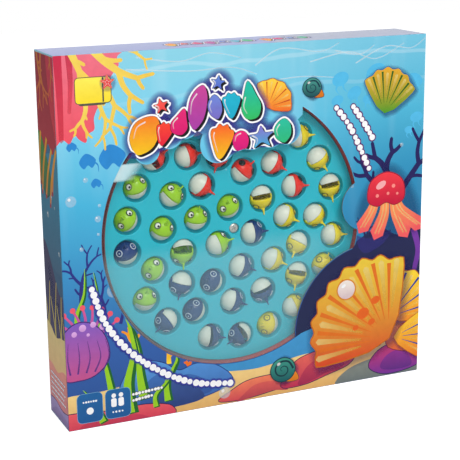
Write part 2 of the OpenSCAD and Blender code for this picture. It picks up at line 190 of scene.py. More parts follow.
def seenDirectly(paint):
    # 1 for camera, glossy and transmission rays
    path = "ShaderNodeLightPath"
    look = paint.node(path, out=0)
    gloss = paint.node(path, out=3)
    through = paint.node(path, out=6)
    return paint.maths("MAXIMUM", paint.maths("MAXIMUM", look, gloss), through)


def setRoom():
    scene.view_settings.view_transform = "Standard"
    world = bpy.data.worlds.new("whiteRoom")
    scene.world = world
    sky = Paint("whiteRoom", world)
    sky.finish(Strength=seenDirectly(sky) * (1.0 - room["skyLight"]) + room["skyLight"], Color=fullWhite)

    bm = bmesh.new()
    bmesh.ops.create_grid(bm, x_segments=8, y_segments=8, size=room["floorSize"] / 2)
    floorMesh = bpy.data.meshes.new("floor")
    bm.to_mesh(floorMesh)
    bm.free()
    floor = bpy.data.objects.new("floor", floorMesh)
    scene.collection.objects.link(floor)
    paint = Paint("floorWhite")
    dark, pale = ((tone, tone, tone, 1) for tone in room["floorTones"])
    paint.finish(Base_Color=paint.mix(paint.noise(3.0) * room["floorDrift"], dark, pale), Roughness=0.9,
                 Specular_IOR_Level=0.0, Emission_Color=fullWhite,
                 Emission_Strength=seenDirectly(paint) * room["floorGlow"])
    floorMesh.materials.append(paint.material)


lamps = {
    # name: place, aim, size, power, colour
    "keyLamp": ((0.1, -1.7, 2.0), (0, 0, 0.17), 1.1, 34.0, (1.0, 0.985, 0.96)),
    "fillLamp": ((-0.9, -2.0, 0.6), (0, 0, 0.17), 1.6, 5.0, (0.95, 0.98, 1.0)),
}


def setLamps():
    for name, (place, aim, size, power, colour) in lamps.items():
        light = bpy.data.lights.new(name, "AREA")
        light.shape = "DISK"
        light.size = size
        light.energy = power
        light.color = colour
        lamp = bpy.data.objects.new(name, light)
        scene.collection.objects.link(lamp)
        lamp.location = place
        lamp.rotation_euler = (Vector(aim) - Vector(place)).to_track_quat("-Z", "Y").to_euler()


setCamera()
setRoom()
setLamps()
print("camera, room and lamps are set")


# moulded plastics, metals and film

moulded = {
    # noises as scale and detail; depth in metres
    "drift": (55.0, 3.0), "grain": (900.0, 2.0), "grainStrength": 0.25, "grainDepth": 0.00006,
    "unevenness": 0.16, "gleam": 0.28,
}
plastics = {
    # name: colour, roughness, drift of the colour
    "fishGreen": (rgb(146, 198, 24), 0.28, 0.12),
    "fishBlue": (rgb(10, 46, 106), 0.30, 0.16),
    "fishRed": (rgb(222, 34, 12), 0.28, 0.10),
    "fishYellow": (rgb(222, 204, 20), 0.28, 0.10),
    "jawWhite": (rgb(210, 216, 202), 0.30, 0.06),
    "eyeWhite": (rgb(232, 236, 222), 0.2, 0.04),
    "eyeBlack": (rgb(16, 18, 18), 0.2, 0.2),
    "eyeOlive": (rgb(52, 66, 32), 0.3, 0.15),
    "eyeMustard": (rgb(84, 78, 12), 0.3, 0.1),
    "eyePale": (rgb(196, 206, 216), 0.3, 0.06),
    "motorWhite": (rgb(224, 224, 220), 0.45, 0.05),
    "switchBlack": (rgb(38, 38, 40), 0.42, 0.15),
    "poleRed": (rgb(224, 60, 30), 0.28, 0.10),
    "poleYellow": (rgb(236, 200, 40), 0.28, 0.10),
    "poleGreen": (rgb(96, 190, 60), 0.28, 0.10),
    "poleBlue": (rgb(50, 130, 220), 0.28, 0.10),
}


def startPlastic(name):
    # a new material with the grain of moulded plastic, and the slow noise of its colour
    paint = Paint(name)
    paint.bump(paint.noise(*moulded["grain"]), moulded["grainStrength"], moulded["grainDepth"])
    return paint, paint.noise(*moulded["drift"])


def uneven(rough, slow):
    return rough + (slow - 0.5) * moulded["unevenness"]


def plastic(name, colour, rough, drift):
    paint, slow = startPlastic(name)
    tone = paint.mix(slow, shade(colour, 1.0 - drift), shade(colour, 1.0 + drift))
    return paint.finish(Base_Color=tone, Roughness=uneven(rough, slow), Specular_IOR_Level=moulded["gleam"])


steel = {
    # the Mapping node's location puts the screw's axis at the origin
    "place": (0.0136, 0, -0.1695), "rings": 900.0, "distortion": 0.6, "ringStrength": 0.15,
    "ringDepth": 0.00004,
    "dark": rgb(140, 142, 138), "pale": rgb(182, 184, 180), "metal": 0.75,
    "dull": (400.0, 3.0), "rough": 0.34, "unevenness": 0.14,
}


def steelFinish():
    # plated steel with turning marks
    paint = Paint("screwSteel")
    rings = paint.node("ShaderNodeTexWave", {"wave_type": "RINGS", "rings_direction": "Y"},
                       {"Vector": paint.spot(place=steel["place"]), "Scale": steel["rings"],
                        "Distortion": steel["distortion"]})
    dull = paint.noise(*steel["dull"])
    paint.bump(rings, steel["ringStrength"], steel["ringDepth"])
    return paint.finish(Base_Color=paint.mix(dull, steel["dark"], steel["pale"]), Metallic=steel["metal"],
                        Roughness=steel["rough"] + dull * steel["unevenness"])


disc = {
    # socketFrom and socketTo are heights along Y, in metres, over which the sockets' painted shade and
    # painted glow fade in
    "dark": rgb(20, 172, 192), "pale": rgb(28, 182, 200), "speck": rgb(190, 236, 240),
    # socket is the sockets' darker teal, painted shade; glow is the painted light on their walls
    "socket": rgb(8, 146, 160),
    "glow": rgb(4, 110, 124), "glowStrength": 0.55, "socketFrom": -0.0176, "socketTo": -0.0150,
    "speckScale": 62.0, "speckSize": (0.04, 0.07), "speckStrength": 0.35, "rough": 0.30,
}


def discFinish():
    # a teal plastic with pale specks; its sockets are painted a darker teal as shade, and a painted glow
    # lights their walls
    paint, slow = startPlastic("discTeal")
    # deep is 1 inside the sockets, where the shade and the glow are painted
    deep = paint.rise(paint.axis("Y"), disc["socketFrom"], disc["socketTo"])
    specks = paint.node("ShaderNodeTexVoronoi", {}, {"Vector": paint.spot(), "Scale": disc["speckScale"]})
    specks = (1.0 - paint.rise(specks, *disc["speckSize"])) * (1.0 - deep) * disc["speckStrength"]
    face = paint.mix(specks, paint.mix(slow, disc["dark"], disc["pale"]), disc["speck"])
    return paint.finish(Base_Color=paint.mix(deep, face, disc["socket"]),
                        Roughness=uneven(disc["rough"], slow),
                        Specular_IOR_Level=moulded["gleam"],
                        Emission_Color=paint.mix(deep, rgb(0, 0, 0), disc["glow"]),
                        Emission_Strength=disc["glowStrength"])


base = {
    # the shaded part of the rim's face, in metres along X and Y
    "shadeX": (-0.11, 0.0), "shadeY": (-0.018, -0.014), "shade": rgb(78, 36, 38), "red": rgb(205, 38, 34),
    "drift": rgb(160, 34, 30), "driftShare": 0.25, "rough": 0.30, "gleam": 0.22,
}


def baseFinish():
    # red plastic, dull and brown at the left of the rim's face, where the card shades it
    paint, slow = startPlastic("baseRed")
    bare = paint.maths("MAXIMUM", paint.rise(paint.axis("X"), *base["shadeX"]),
                       paint.rise(paint.axis("Y"), *base["shadeY"]))
    tone = paint.mix(slow * base["driftShare"], paint.mix(bare, base["shade"], base["red"]), base["drift"])
    return paint.finish(Base_Color=tone, Roughness=uneven(base["rough"], slow),
                        Specular_IOR_Level=base["gleam"])


film = {
    # heights and widths in metres, as where a change starts and ends, for the painted reflection over the
    # lower half and the painted glare band
    "hazeTop": (0.146, 0.168), "hazeRight": (0.05, 0.10), "hazeRightShare": 0.75, "wave": (9.0, 2.0),
    "waveReach": 0.012, "bandBottom": (0.2262, 0.2294), "bandTop": (0.2412, 0.2432), "slantFrom": 0.2280,
    "slant": 0.75, "bandRight": (-0.1270, -0.1130), "bandBright": (-0.1400, -0.1200),
    "clear": 0.012, "haze": 0.072, "band": 0.48, "bright": 0.20, "tintShare": 0.3, "rough": 0.12,
    "gleam": 0.12,
    "tint": (0.64, 0.92, 1, 1), "tintDeep": (0.58, 0.90, 1, 1), "bandTone": (0.74, 0.96, 1, 1),
}


def filmFinish():
    # clear film: a painted reflection as a pale veil over its lower half, and a painted glare as a slanted
    # bright band at the upper left, brightest at its left
    f = film
    paint = Paint("clearFilm")
    x = paint.axis("X")
    z = paint.axis("Z")
    wave = paint.noise(*f["wave"])
    low = ((1.0 - paint.rise(z + (wave - 0.5) * f["waveReach"], *f["hazeTop"]))
           * (1.0 - paint.rise(x, *f["hazeRight"]) * f["hazeRightShare"]))
    slant = x - (z - f["slantFrom"]) * f["slant"]
    band = (paint.rise(z, *f["bandBottom"]) * (1.0 - paint.rise(z, *f["bandTop"]))
            * (1.0 - paint.rise(slant, *f["bandRight"])))
    bright = 1.0 - paint.rise(slant, *f["bandBright"])
    # veil is how thickly the painted reflection and painted glare lie over what is behind
    veil = f["clear"] + low * f["haze"] + band * (f["band"] + bright * f["bright"])
    tint = paint.mix(wave * f["tintShare"], f["tint"], f["tintDeep"])
    return paint.finish(Base_Color=paint.mix(band, tint, f["bandTone"]), Roughness=f["rough"],
                        Specular_IOR_Level=f["gleam"], Alpha=veil)


finishes = {name: plastic(name, *row) for name, row in plastics.items()}
finishes["screwSteel"] = steelFinish()
finishes["discTeal"] = discFinish()
finishes["baseRed"] = baseFinish()
finishes["clearFilm"] = filmFinish()


dressed = {
    "window_film": "clearFilm", "base_tray": "baseRed", "base_cover": "baseRed", "battery_door": "baseRed",
    "turntable": "discTeal", "centre_screw": "screwSteel", "gear_motor": "motorWhite",
    "output_shaft": "motorWhite", "power_switch": "switchBlack", "fishing_pole_1": "poleRed",
    "fishing_pole_2": "poleYellow", "fishing_pole_3": "poleGreen", "fishing_pole_4": "poleBlue",
}


def dress(node, finish):
    slots = nodes[node].data.materials
    if not slots:
        slots.append(finish)
    for i in range(len(slots)):
        slots[i] = finish


for node, name in dressed.items():
    dress(node, finishes[name])
print("plastics are on the CAD nodes")


# pieces

def makePiece(bm, name, body, materials, smooth=True, place=None):
    # bm is in mm; place carries it into the part's frame
    bmesh.ops.transform(bm, matrix=Matrix.Scale(mm, 4) @ (place or Matrix.Identity(4)), verts=bm.verts)
    mesh = bpy.data.meshes.new(name)
    for face in bm.faces:
        face.smooth = smooth
    bm.to_mesh(mesh)
    bm.free()
    for material in materials:
        mesh.materials.append(material)
    piece = bpy.data.objects.new(name, mesh)
    scene.collection.objects.link(piece)
    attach(piece, body)
    return piece


def paintFaces(bm, index, faces=None):
    for face in (faces if faces is not None else bm.faces):
        face.material_index = index


def join(bm, other, place=None):
    # adds a copy of bmesh other to bm
    mesh = bpy.data.meshes.new("part")
    other.to_mesh(mesh)
    if place is not None:
        mesh.transform(place)
    bm.from_mesh(mesh)
    bpy.data.meshes.remove(mesh)


# the fish

# the turntable's axis, in mm, as in part.scad
game = {"axisX": -13.6, "faceY": -18.0, "axisZ": 169.5}

# the sockets' rings, each a radius in mm and the angles in one third of it
rings = [
    (20.9, [101]), (39.1, [41]), (54.3, [6, 79]), (71.3, [28.5, 54.7, 101.5]), (85.8, [2, 81]),
    (106.6, [16.3, 33.2, 49.9, 66.5, 93.3, 110]),
]
sockets = [(r, a + 120 * turn) for r, angles in rings for turn in range(3) for a in angles]

# fin direction, lean towards the player and open jaw in degrees, and the colour's first letter
fishPoses = [
    (120, 28, 0, "g"), (15, 0, 0, "g"), (3, 0, 0, "b"), (-85, 0, 20, "y"), (88, 17, 0, "g"),
    (-20, 0, 0, "b"), (-25, 0, 0, "y"), (50, 17, 0, "r"), (-37, 0, 0, "r"), (-92, 0, 32, "g"),
    (149, 22, 0, "b"), (-25, 0, 0, "y"), (0, 4, 0, "r"), (-30, 0, 0, "r"), (-110, 0, 0, "r"),
    (50, 20, 0, "g"), (75, 30, 0, "g"), (-107, 0, 0, "b"), (-20, 0, 0, "b"), (-70, 0, 12, "b"),
    (-122, 6, 0, "y"), (-47, 0, 0, "y"), (30, 0, 0, "r"), (10, 0, 0, "r"), (144, 28, 0, "g"),
    (145, 20, 0, "b"), (-104, 0, 20, "y"), (-82, 0, 20, "y"), (-55, 0, 0, "y"), (2, 0, 0, "y"),
    (-20, 0, 0, "r"), (-60, 0, 0, "r"), (140, 15, 0, "g"), (30, 0, 24, "r"), (110, 20, 0, "g"),
    (143, 28, 0, "g"), (112, 20, 0, "b"), (88, 18, 0, "g"), (-147, 4, 0, "b"), (-10, 0, 10, "b"),
    (-155, 0, 18, "b"), (168, 20, 0, "y"), (16, 0, 0, "y"), (77, 16, 0, "y"), (-3, 0, 0, "y")
]
fishColours = {
    # letter: body, eye ring, eyeball, pupil, record slot
    "g": ("fishGreen", "eyeOlive", "eyeWhite", "eyeBlack", "fish_green"),
    "b": ("fishBlue", "eyePale", "fishBlue", "eyePale", "fish_blue"),
    "r": ("fishRed", "eyeBlack", "eyeBlack", "eyeBlack", "fish_red"),
    "y": ("fishYellow", "eyeMustard", "fishYellow", "eyeMustard", "fish_yellow"),
}
fishForm = {
    # mm, from the middle of the head's ball: X to the fin's tip, Y across the mouth, Z to the player
    "radius": 11.4, "depth": 6.0, "wall": 1.3, "back": -3.6,
    "jawRadius": 10.9, "jawHalf": 9.9, "jawFloor": -5.5, "jawGap": 0.35, "pivot": (-2.2, 0, -3.6),
    "lipFrom": -1.3, "lipRise": 0.35, "slack": 0.35, "floorSlack": 0.6,
    "snoutFrom": 3.0, "snoutDraw": 0.22, "snoutPower": 1.6, "snoutDrop": 0.05,
    "mouthAt": (2.4, 0, -0.6), "mouthRadius": 9.4,
    "ribs": (-6.0, -3.0, 0.0, 3.0, 6.0), "ribX": 1.7, "ribSize": (1.6, 0.8), "ribRadius": 9.2,
    "ribShare": 0.92,
    # the fin's sections along X and the tail's along Z, each with its radius
    "fin": [(6.5, 3.6), (9.6, 2.6), (10.7, 1.6), (11.4, 1.05), (13.6, 0.85), (15.4, 0.7), (16.0, 0.45)],
    "finHeight": 6.35, "finRoot": 12.0, "finSlope": 0.92, "finFlatFrom": 12.5, "finWidth": 1.5 / 1.7,
    "finFlatness": 0.75,
    "tail": [(-16.2, 1.9), (-15.5, 2.6), (-13.0, 2.6), (-9.6, 5.2), (-6.0, 5.2)],
    "eyeTurn": 45, "eyeLift": 28, "eyeRadius": 2.7, "eyeFlatness": 0.42, "eyeSink": 0.45,
    "eyeRing": 0.42, "eyeRingAt": (2.82, 0, 0.34),
    # radius and offset of the pupil
    "pupils": {"g": (1.2, -1.1), "b": (0.7, -0.2), "r": (0.7, -0.2), "y": (0.7, -0.2)},
    "pupilLift": 0.945, "pupilSide": 0.4, "pupilFlatness": 0.45,
}


def quarter(axis, sign=1):
    return Matrix.Rotation(math.radians(90 * sign), 4, axis)


def cutBall(radius, planes):
    # a ball with its poles on the Y axis, and clean edges along the planes
    bm = bmesh.new()
    bmesh.ops.create_uvsphere(bm, u_segments=36, v_segments=20, radius=radius, matrix=quarter("X"))
    for point, normal in planes:
        bmesh.ops.bisect_plane(bm, geom=bm.verts[:] + bm.edges[:] + bm.faces[:], dist=0.0005,
                               plane_co=point, plane_no=normal)
    return bm


def keepFaces(bm, test):
    gone = [f for f in bm.faces if not test(f.calc_center_median())]
    bmesh.ops.delete(bm, geom=gone, context="FACES")


def addWall(bm):
    bmesh.ops.recalc_face_normals(bm, faces=bm.faces)
    bmesh.ops.solidify(bm, geom=bm.faces[:], thickness=fishForm["wall"])


def makeTube(sections, segments=20):
    # a closed round form through (height, radius) sections along Z
    bm = bmesh.new()
    height, radius = sections[0]
    bmesh.ops.create_circle(bm, cap_ends=False, segments=segments, radius=radius,
                            matrix=Matrix.Translation((0, 0, height)))
    first = edges = bm.edges[:]
    for height, nextRadius in sections[1:]:
        out = bmesh.ops.extrude_edge_only(bm, edges=edges)["geom"]
        edges = [g for g in out if isinstance(g, bmesh.types.BMEdge)]
        for v in out:
            if isinstance(v, bmesh.types.BMVert):
                v.co.x *= nextRadius / radius
                v.co.y *= nextRadius / radius
                v.co.z = height
        radius = nextRadius
    for loop in (first, edges):
        bmesh.ops.contextual_create(bm, geom=loop)
    return bm


def addForm(bm, form):
    bmesh.ops.recalc_face_normals(form, faces=form.faces)
    join(bm, form)
    form.free()


def makeHead():
    f = fishForm
    floor = f["jawFloor"] - f["floorSlack"]
    half = f["jawHalf"] + f["slack"]
    bm = cutBall(f["radius"], [((0, 0, 0), (1, 0, 0)), ((f["back"], 0, 0), (1, 0, 0)),
                               ((0, half, 0), (0, 1, 0)), ((0, -half, 0), (0, 1, 0)),
                               ((0, 0, floor), (0, 0, 1))])
    keepFaces(bm, lambda c: c.x > f["back"] and not (c.x < 0 and abs(c.y) < half and c.z > floor))
    # the snout draws in towards the fin
    for v in bm.verts:
        reach = max(0.0, (v.co.x - f["snoutFrom"]) / (f["radius"] - f["snoutFrom"]))
        v.co.y *= 1.0 - f["snoutDraw"] * reach ** f["snoutPower"]
        if v.co.z > 0:
            v.co.z *= 1.0 - f["snoutDrop"] * reach
    addWall(bm)
    # the bottom of the mouth and its ribs
    x, _, z = f["mouthAt"]
    bottom = bmesh.new()
    bmesh.ops.create_circle(bottom, cap_ends=True, segments=28, radius=f["mouthRadius"],
                            matrix=Matrix.Translation((x, 0, z)) @ quarter("Y", -1))
    for y in f["ribs"]:
        tall = math.sqrt(f["ribRadius"] ** 2 - y * y) * 2 * f["ribShare"]
        bmesh.ops.create_cube(bottom, size=1.0, matrix=Matrix.Translation((f["ribX"], y, z))
                              @ Matrix.Diagonal((*f["ribSize"], tall, 1)))
    join(bm, bottom)
    bottom.free()
    # the fin flares out of the head
    fin = makeTube(f["fin"], segments=14)
    for v in fin.verts:
        along, across, high = v.co.z, v.co.y, v.co.x
        if along > f["finFlatFrom"]:
            across *= f["finWidth"]
            high *= f["finFlatness"]
        v.co = Vector((along, across, f["finHeight"] - max(0.0, f["finRoot"] - along) * f["finSlope"] + high))
    addForm(bm, fin)
    # neck and tail
    addForm(bm, makeTube(f["tail"]))
    return bm


def makeJaw():
    f = fishForm
    half = f["jawHalf"]
    bm = cutBall(f["jawRadius"], [((-f["jawGap"], 0, 0), (1, 0, 0)), ((f["lipFrom"], 0, 0), (1, 0, 0)),
                                  ((0, half, 0), (0, 1, 0)), ((0, -half, 0), (0, 1, 0)),
                                  ((0, 0, f["jawFloor"]), (0, 0, 1))])
    keepFaces(bm, lambda c: c.x < -f["jawGap"] and abs(c.y) < half and c.z > f["jawFloor"])
    # the lip stands a little proud
    for v in bm.verts:
        if v.co.x > f["lipFrom"] - 0.01 and v.co.z > 0:
            v.co.z += f["lipRise"]
    addWall(bm)
    paintFaces(bm, 1)
    return bm


def makeEyes(kind):
    # two eyes, each a ball, its ring and its pupil
    f = fishForm
    bm = bmesh.new()
    size, off = f["pupils"][kind]
    for side in (-1, 1):
        eye = bmesh.new()
        bmesh.ops.create_uvsphere(eye, u_segments=20, v_segments=10, radius=f["eyeRadius"],
                                  matrix=Matrix.Diagonal((1, 1, f["eyeFlatness"], 1)))
        paintFaces(eye, 3)
        before = set(eye.faces)
        rim = bmesh.ops.create_circle(eye, cap_ends=False, segments=6, radius=f["eyeRing"],
                                      matrix=Matrix.Translation(f["eyeRingAt"]) @ quarter("X"))["verts"]
        edges = [e for e in eye.edges if e.verts[0] in rim]
        bmesh.ops.spin(eye, geom=rim + edges, cent=(0, 0, 0), axis=(0, 0, 1), angle=math.tau, steps=22,
                       use_merge=True)
        paintFaces(eye, 2, set(eye.faces) - before)
        before = set(eye.faces)
        pupilPlace = Matrix.Translation((off, off * f["pupilSide"] * side, f["pupilLift"]))
        bmesh.ops.create_uvsphere(eye, u_segments=12, v_segments=6, radius=size,
                                  matrix=pupilPlace @ Matrix.Diagonal((1, 1, f["pupilFlatness"], 1)))
        paintFaces(eye, 4, set(eye.faces) - before)
        bmesh.ops.recalc_face_normals(eye, faces=eye.faces)
        join(bm, eye, Matrix.Rotation(math.radians(f["eyeTurn"] * side), 4, "Z")
             @ Matrix.Rotation(math.radians(90 - f["eyeLift"]), 4, "Y")
             @ Matrix.Translation((0, 0, f["radius"] - f["eyeSink"])))
        eye.free()
    return bm


def jawTurn(opened):
    pivot = Matrix.Translation(fishForm["pivot"])
    return pivot @ Matrix.Rotation(math.radians(-opened), 4, "Y") @ pivot.inverted()


def setFish():
    gamePlace = Matrix.Translation((game["axisX"], game["faceY"], game["axisZ"])) @ quarter("X")
    head = makeHead()
    jaw = makeJaw()
    eyes = {kind: makeEyes(kind) for kind in fishColours}
    for i, ((r, angle), (fin, lean, opened, kind)) in enumerate(zip(sockets, fishPoses)):
        bm = bmesh.new()
        join(bm, head)
        join(bm, eyes[kind])
        join(bm, jaw, jawTurn(opened))
        place = (gamePlace @ Matrix.Rotation(math.radians(angle), 4, "Z")
                 @ Matrix.Translation((r, 0, -fishForm["depth"]))
                 @ Matrix.Rotation(math.radians(fin - angle), 4, "Z")
                 @ Matrix.Rotation(math.radians(-lean), 4, "Y"))
        body, ringTone, ballTone, pupilTone, slot = fishColours[kind]
        name = f"fish_{i + 1:02d}"
        piece = makePiece(bm, "toyFish_%02d" % (i + 1), "disc",
                          [finishes[n] for n in (body, "jawWhite", ringTone, ballTone, pupilTone)],
                          place=place)
        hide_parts(name)
    for bm in [head, jaw] + list(eyes.values()):
        bm.free()


setFish()
print("fish are in their seats")


# the carton

carton = {
    # mm; the printed layers lie in the card's outermost part, the ink's room
    "halfWidth": 185.0, "halfDepth": 29.0, "height": 342.0, "inkRoom": 0.4, "foldRadius": 0.45,
    "shortestFold": 30.0, "cutDepth": 1.3, "cutReach": 130.0, "cutHeights": (20.0, 320.0),
    # tests in metres and degrees
    "weld": 2e-6, "slack": 1e-5, "edgeSlack": 2e-5, "flat": 0.6,
}
card = {
    # noises as scale and detail, depths in metres
    "flutes": 100.0, "fluteSway": 0.4, "grain": (420.0, 2.0), "relief": 0.12, "reliefDepth": 0.00012,
    "rough": 0.36, "unevenness": 0.08, "fibres": (300, 300, 1400), "cloud": (60.0, 2.0), "cloudShare": 0.3,
    "fibreRelief": 0.4, "fibreDepth": 0.0001,
}
water = {
    # stops are shares of the carton's height; heights and across are metres, where a change starts and ends
    "left": [(0.0, rgb(44, 78, 142)), (0.22, rgb(52, 96, 168)), (0.42, rgb(60, 142, 196)),
             (0.62, rgb(72, 180, 220)), (0.80, rgb(120, 208, 238)), (1.0, rgb(140, 210, 230))],
    "right": [(0.0, rgb(34, 66, 130)), (0.22, rgb(32, 84, 156)), (0.42, rgb(38, 118, 168)),
              (0.62, rgb(50, 146, 190)), (0.80, rgb(80, 182, 216)), (1.0, rgb(116, 196, 224))],
    "across": (-0.06, 0.16), "sway": (7.0, 2.0), "swayShare": 0.10,
    "line": rgb(226, 244, 252), "lineHeights": (0.27, 0.33), "lineEdges": (0.93, 0.99), "lineShare": 0.22,
    "ripple": {"Scale": 12.0, "Distortion": 3.5, "Detail": 1.0},
    "ray": rgb(214, 240, 252), "rayHeights": (0.12, 0.3), "rayEdges": (0.5, 0.75), "rayShare": 0.12,
    "rayScale": (60, 60, 4), "rayTurn": (0, 0.3, 0),
}


def cardRelief(paint):
    # the flutes under the paper and its grain; gives the roughness
    flutes = paint.node("ShaderNodeTexWave", {"bands_direction": "X"},
                        {"Vector": paint.spot(), "Scale": card["flutes"], "Distortion": card["fluteSway"]})
    fine = paint.noise(*card["grain"])
    paint.bump(flutes * 0.5 + fine * 0.5, card["relief"], card["reliefDepth"])
    return card["rough"] + fine * card["unevenness"]


def waterFinish(name):
    # printed water: pale at the top, deep blue at the bottom, with faint wavy lines and rays
    w = water
    paint = Paint(name)
    z = paint.axis("Z")
    level = z / (carton["height"] * mm) + (paint.noise(*w["sway"]) - 0.5) * w["swayShare"]
    left, right = (paint.node("ShaderNodeValToRGB", {"stops": w[side]}, {0: level})
                   for side in ("left", "right"))
    tone = paint.mix(paint.rise(paint.axis("X"), *w["across"]), left, right)
    ripple = paint.node("ShaderNodeTexWave", {"bands_direction": "Z"},
                        {"Vector": paint.spot(), **w["ripple"]})
    lines = paint.rise(ripple, *w["lineEdges"]) * paint.rise(z, *w["lineHeights"]) * w["lineShare"]
    rays = paint.noise(1.0, 1.0, spot=paint.spot(scale=w["rayScale"], turn=w["rayTurn"]))
    rays = paint.rise(rays, *w["rayEdges"]) * paint.rise(z, *w["rayHeights"]) * w["rayShare"]
    tone = paint.mix(rays, paint.mix(lines, tone, w["line"]), w["ray"])
    return paint.finish(Base_Color=tone, Roughness=cardRelief(paint), Specular_IOR_Level=0.16)


def cardFinish(name, pale, dark):
    # bare card with its fibres
    paint = Paint(name)
    fibre = paint.noise(1.0, 4.0, 0.7, spot=paint.spot(scale=card["fibres"]))
    share = card["cloudShare"]
    paint.bump(fibre, card["fibreRelief"], card["fibreDepth"])
    tone = paint.mix(fibre * (1.0 - share) + paint.noise(*card["cloud"]) * share, dark, pale)
    return paint.finish(Base_Color=tone, Roughness=0.85, Specular_IOR_Level=0.2)


finishes["waterPrint"] = waterFinish("waterPrint")
finishes["cardEdge"] = cardFinish("cardEdge", rgb(172, 132, 92), rgb(104, 72, 46))
finishes["cardInside"] = cardFinish("cardInside", rgb(206, 200, 190), rgb(178, 172, 162))


def isOuter(point):
    # which outer planes of the carton a point lies on
    slack = carton["slack"]
    hits = set()
    if abs(abs(point.x) - carton["halfWidth"] * mm) < slack:
        hits.add("x")
    if abs(abs(point.y) - carton["halfDepth"] * mm) < slack:
        hits.add("y")
    if abs(point.z) < slack or abs(point.z - carton["height"] * mm) < slack:
        hits.add("z")
    return hits


def isFold(edge):
    a, b = (isOuter(v.co) for v in edge.verts)
    return edge.calc_length() > carton["shortestFold"] * mm and len(a & b) >= 2


def cardSide(face, reach):
    # 0 for the printed outside, 1 for the window's cut edge, 2 for the plain inside
    x, y, z = face.calc_center_median()
    n = face.normal
    halfWidth, halfDepth, height = (carton[key] * mm for key in ("halfWidth", "halfDepth", "height"))
    low, high = (level * mm for level in carton["cutHeights"])
    if ((abs(x) > halfWidth - reach and n.x * x > 0.3 * abs(x))
            or (abs(y) > halfDepth - reach and n.y * y > 0.3 * abs(y))
            or (z < reach and n.z < -0.3) or (z > height - reach and n.z > 0.3)):
        return 0
    cut = (abs(n.y) < 0.2 and y < carton["cutDepth"] * mm - halfDepth
           and abs(x) < carton["cutReach"] * mm and low < z < high)
    return 1 if cut else 2


def makeShell(node, name, body):
    # a copy of the node with softened folds, printed outside and plain card inside
    bm = bmesh.new()
    bm.from_mesh(nodes[node].data)
    bmesh.ops.remove_doubles(bm, verts=bm.verts, dist=carton["weld"])
    bmesh.ops.dissolve_limit(bm, angle_limit=math.radians(carton["flat"]), verts=bm.verts, edges=bm.edges)
    folds = [e for e in bm.edges if isFold(e)]
    room = carton["inkRoom"] * mm
    for v in bm.verts:
        hits = isOuter(v.co)
        if "x" in hits:
            v.co.x -= math.copysign(room, v.co.x)
        if "y" in hits:
            v.co.y -= math.copysign(room, v.co.y)
        if "z" in hits and v.co.z > 0.1:
            v.co.z -= room
    bmesh.ops.bevel(bm, geom=folds, offset=carton["foldRadius"] * mm, offset_type="OFFSET", segments=3,
                    profile=0.5, affect="EDGES", material=-1, clamp_overlap=True)
    reach = room + carton["foldRadius"] * mm + carton["edgeSlack"]
    for face in bm.faces:
        face.material_index = cardSide(face, reach)
    mesh = bpy.data.meshes.new(name)
    bm.to_mesh(mesh)
    bm.free()
    for finish in ("waterPrint", "cardEdge", "cardInside"):
        mesh.materials.append(finishes[finish])
    piece = bpy.data.objects.new(name, mesh)
    scene.collection.objects.link(piece)
    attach(piece, body)
    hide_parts(node)


makeShell("carton", "cartonShell", "box")
makeShell("end_flap", "endFlapShell", "flap")
print("carton shell is on")


# the print

def inkFinish(name, gleam):
    # the shapes bring their own colour; the ink adds a fine mottle and the card's gloss
    paint = Paint(name)
    tone = paint.node("ShaderNodeAttribute", {"attribute_name": "ink"})
    cover = paint.node("ShaderNodeAttribute", {"attribute_name": "ink"}, out=3)
    depth = paint.node("ShaderNodeVectorMath", {"operation": "SCALE"},
                       {0: tone, "Scale": 0.90 + paint.noise(160.0, 3.0) * 0.20})
    return paint.finish(Base_Color=depth, Roughness=cardRelief(paint), Specular_IOR_Level=gleam, Alpha=cover)


finishes["printedInk"] = inkFinish("printedInk", 0.16)
finishes["flapInk"] = inkFinish("flapInk", 0.02)

# the die-cut window, as in part.scad: mm from the turntable's axis
window = {
    "centre": (-3.5, 1.6), "radius": 130.2, "edge": 0.7, "clear": 0.05, "slack": 0.01,
    # rounds of card, each x, z and radius; the lobes are the edge of the tongue
    "corner": (142.1, -112.0, 83.6), "tab": (134.6, 11.0, 25.5),
    "lobes": [(-88.5, 83, 12), (-67, 96, 13), (-51, 104, 13), (-19.5, 84, 18), (-1, 91, 16), (14, 91, 16),
              (33, 91, 15.5), (50, 91, 14)],
    "tongueLeft": (-118.5, 83), "tongueRight": (66, 104),
}


def overTongue(x, z):
    # whether a point lies on the card that hangs into the window
    if any(math.hypot(x - a, z - b) <= r - window["edge"] for a, b, r in window["lobes"]):
        return True
    line = [window["tongueLeft"]] + [(a, b) for a, b, _ in window["lobes"]] + [window["tongueRight"]]
    for (a, b), (c, d) in zip(line, line[1:]):
        if a <= x <= c:
            return z >= b + (d - b) * (x - a) / (c - a) - window["slack"]
    return False


def ontoCard(p):
    # the nearest point of the front panel's card
    here = Vector((p.x - game["axisX"], p.y - game["axisZ"]))
    centre, radius = Vector(window["centre"]), window["radius"] + window["edge"]
    rounds = [(Vector((a, b)), r - window["edge"])
              for a, b, r in [window["corner"], window["tab"]] + window["lobes"]]
    if ((here - centre).length >= radius or any((here - at).length <= r for at, r in rounds[:2])
            or overTongue(here.x, here.y)):
        return p
    goals = [centre + (here - centre).normalized() * (radius + window["clear"])]
    goals += [at + (here - at).normalized() * (r - window["clear"]) for at, r in rounds]
    goal = min(goals, key=lambda g: (g - here).length)
    return Vector((goal.x + game["axisX"], goal.y + game["axisZ"]))


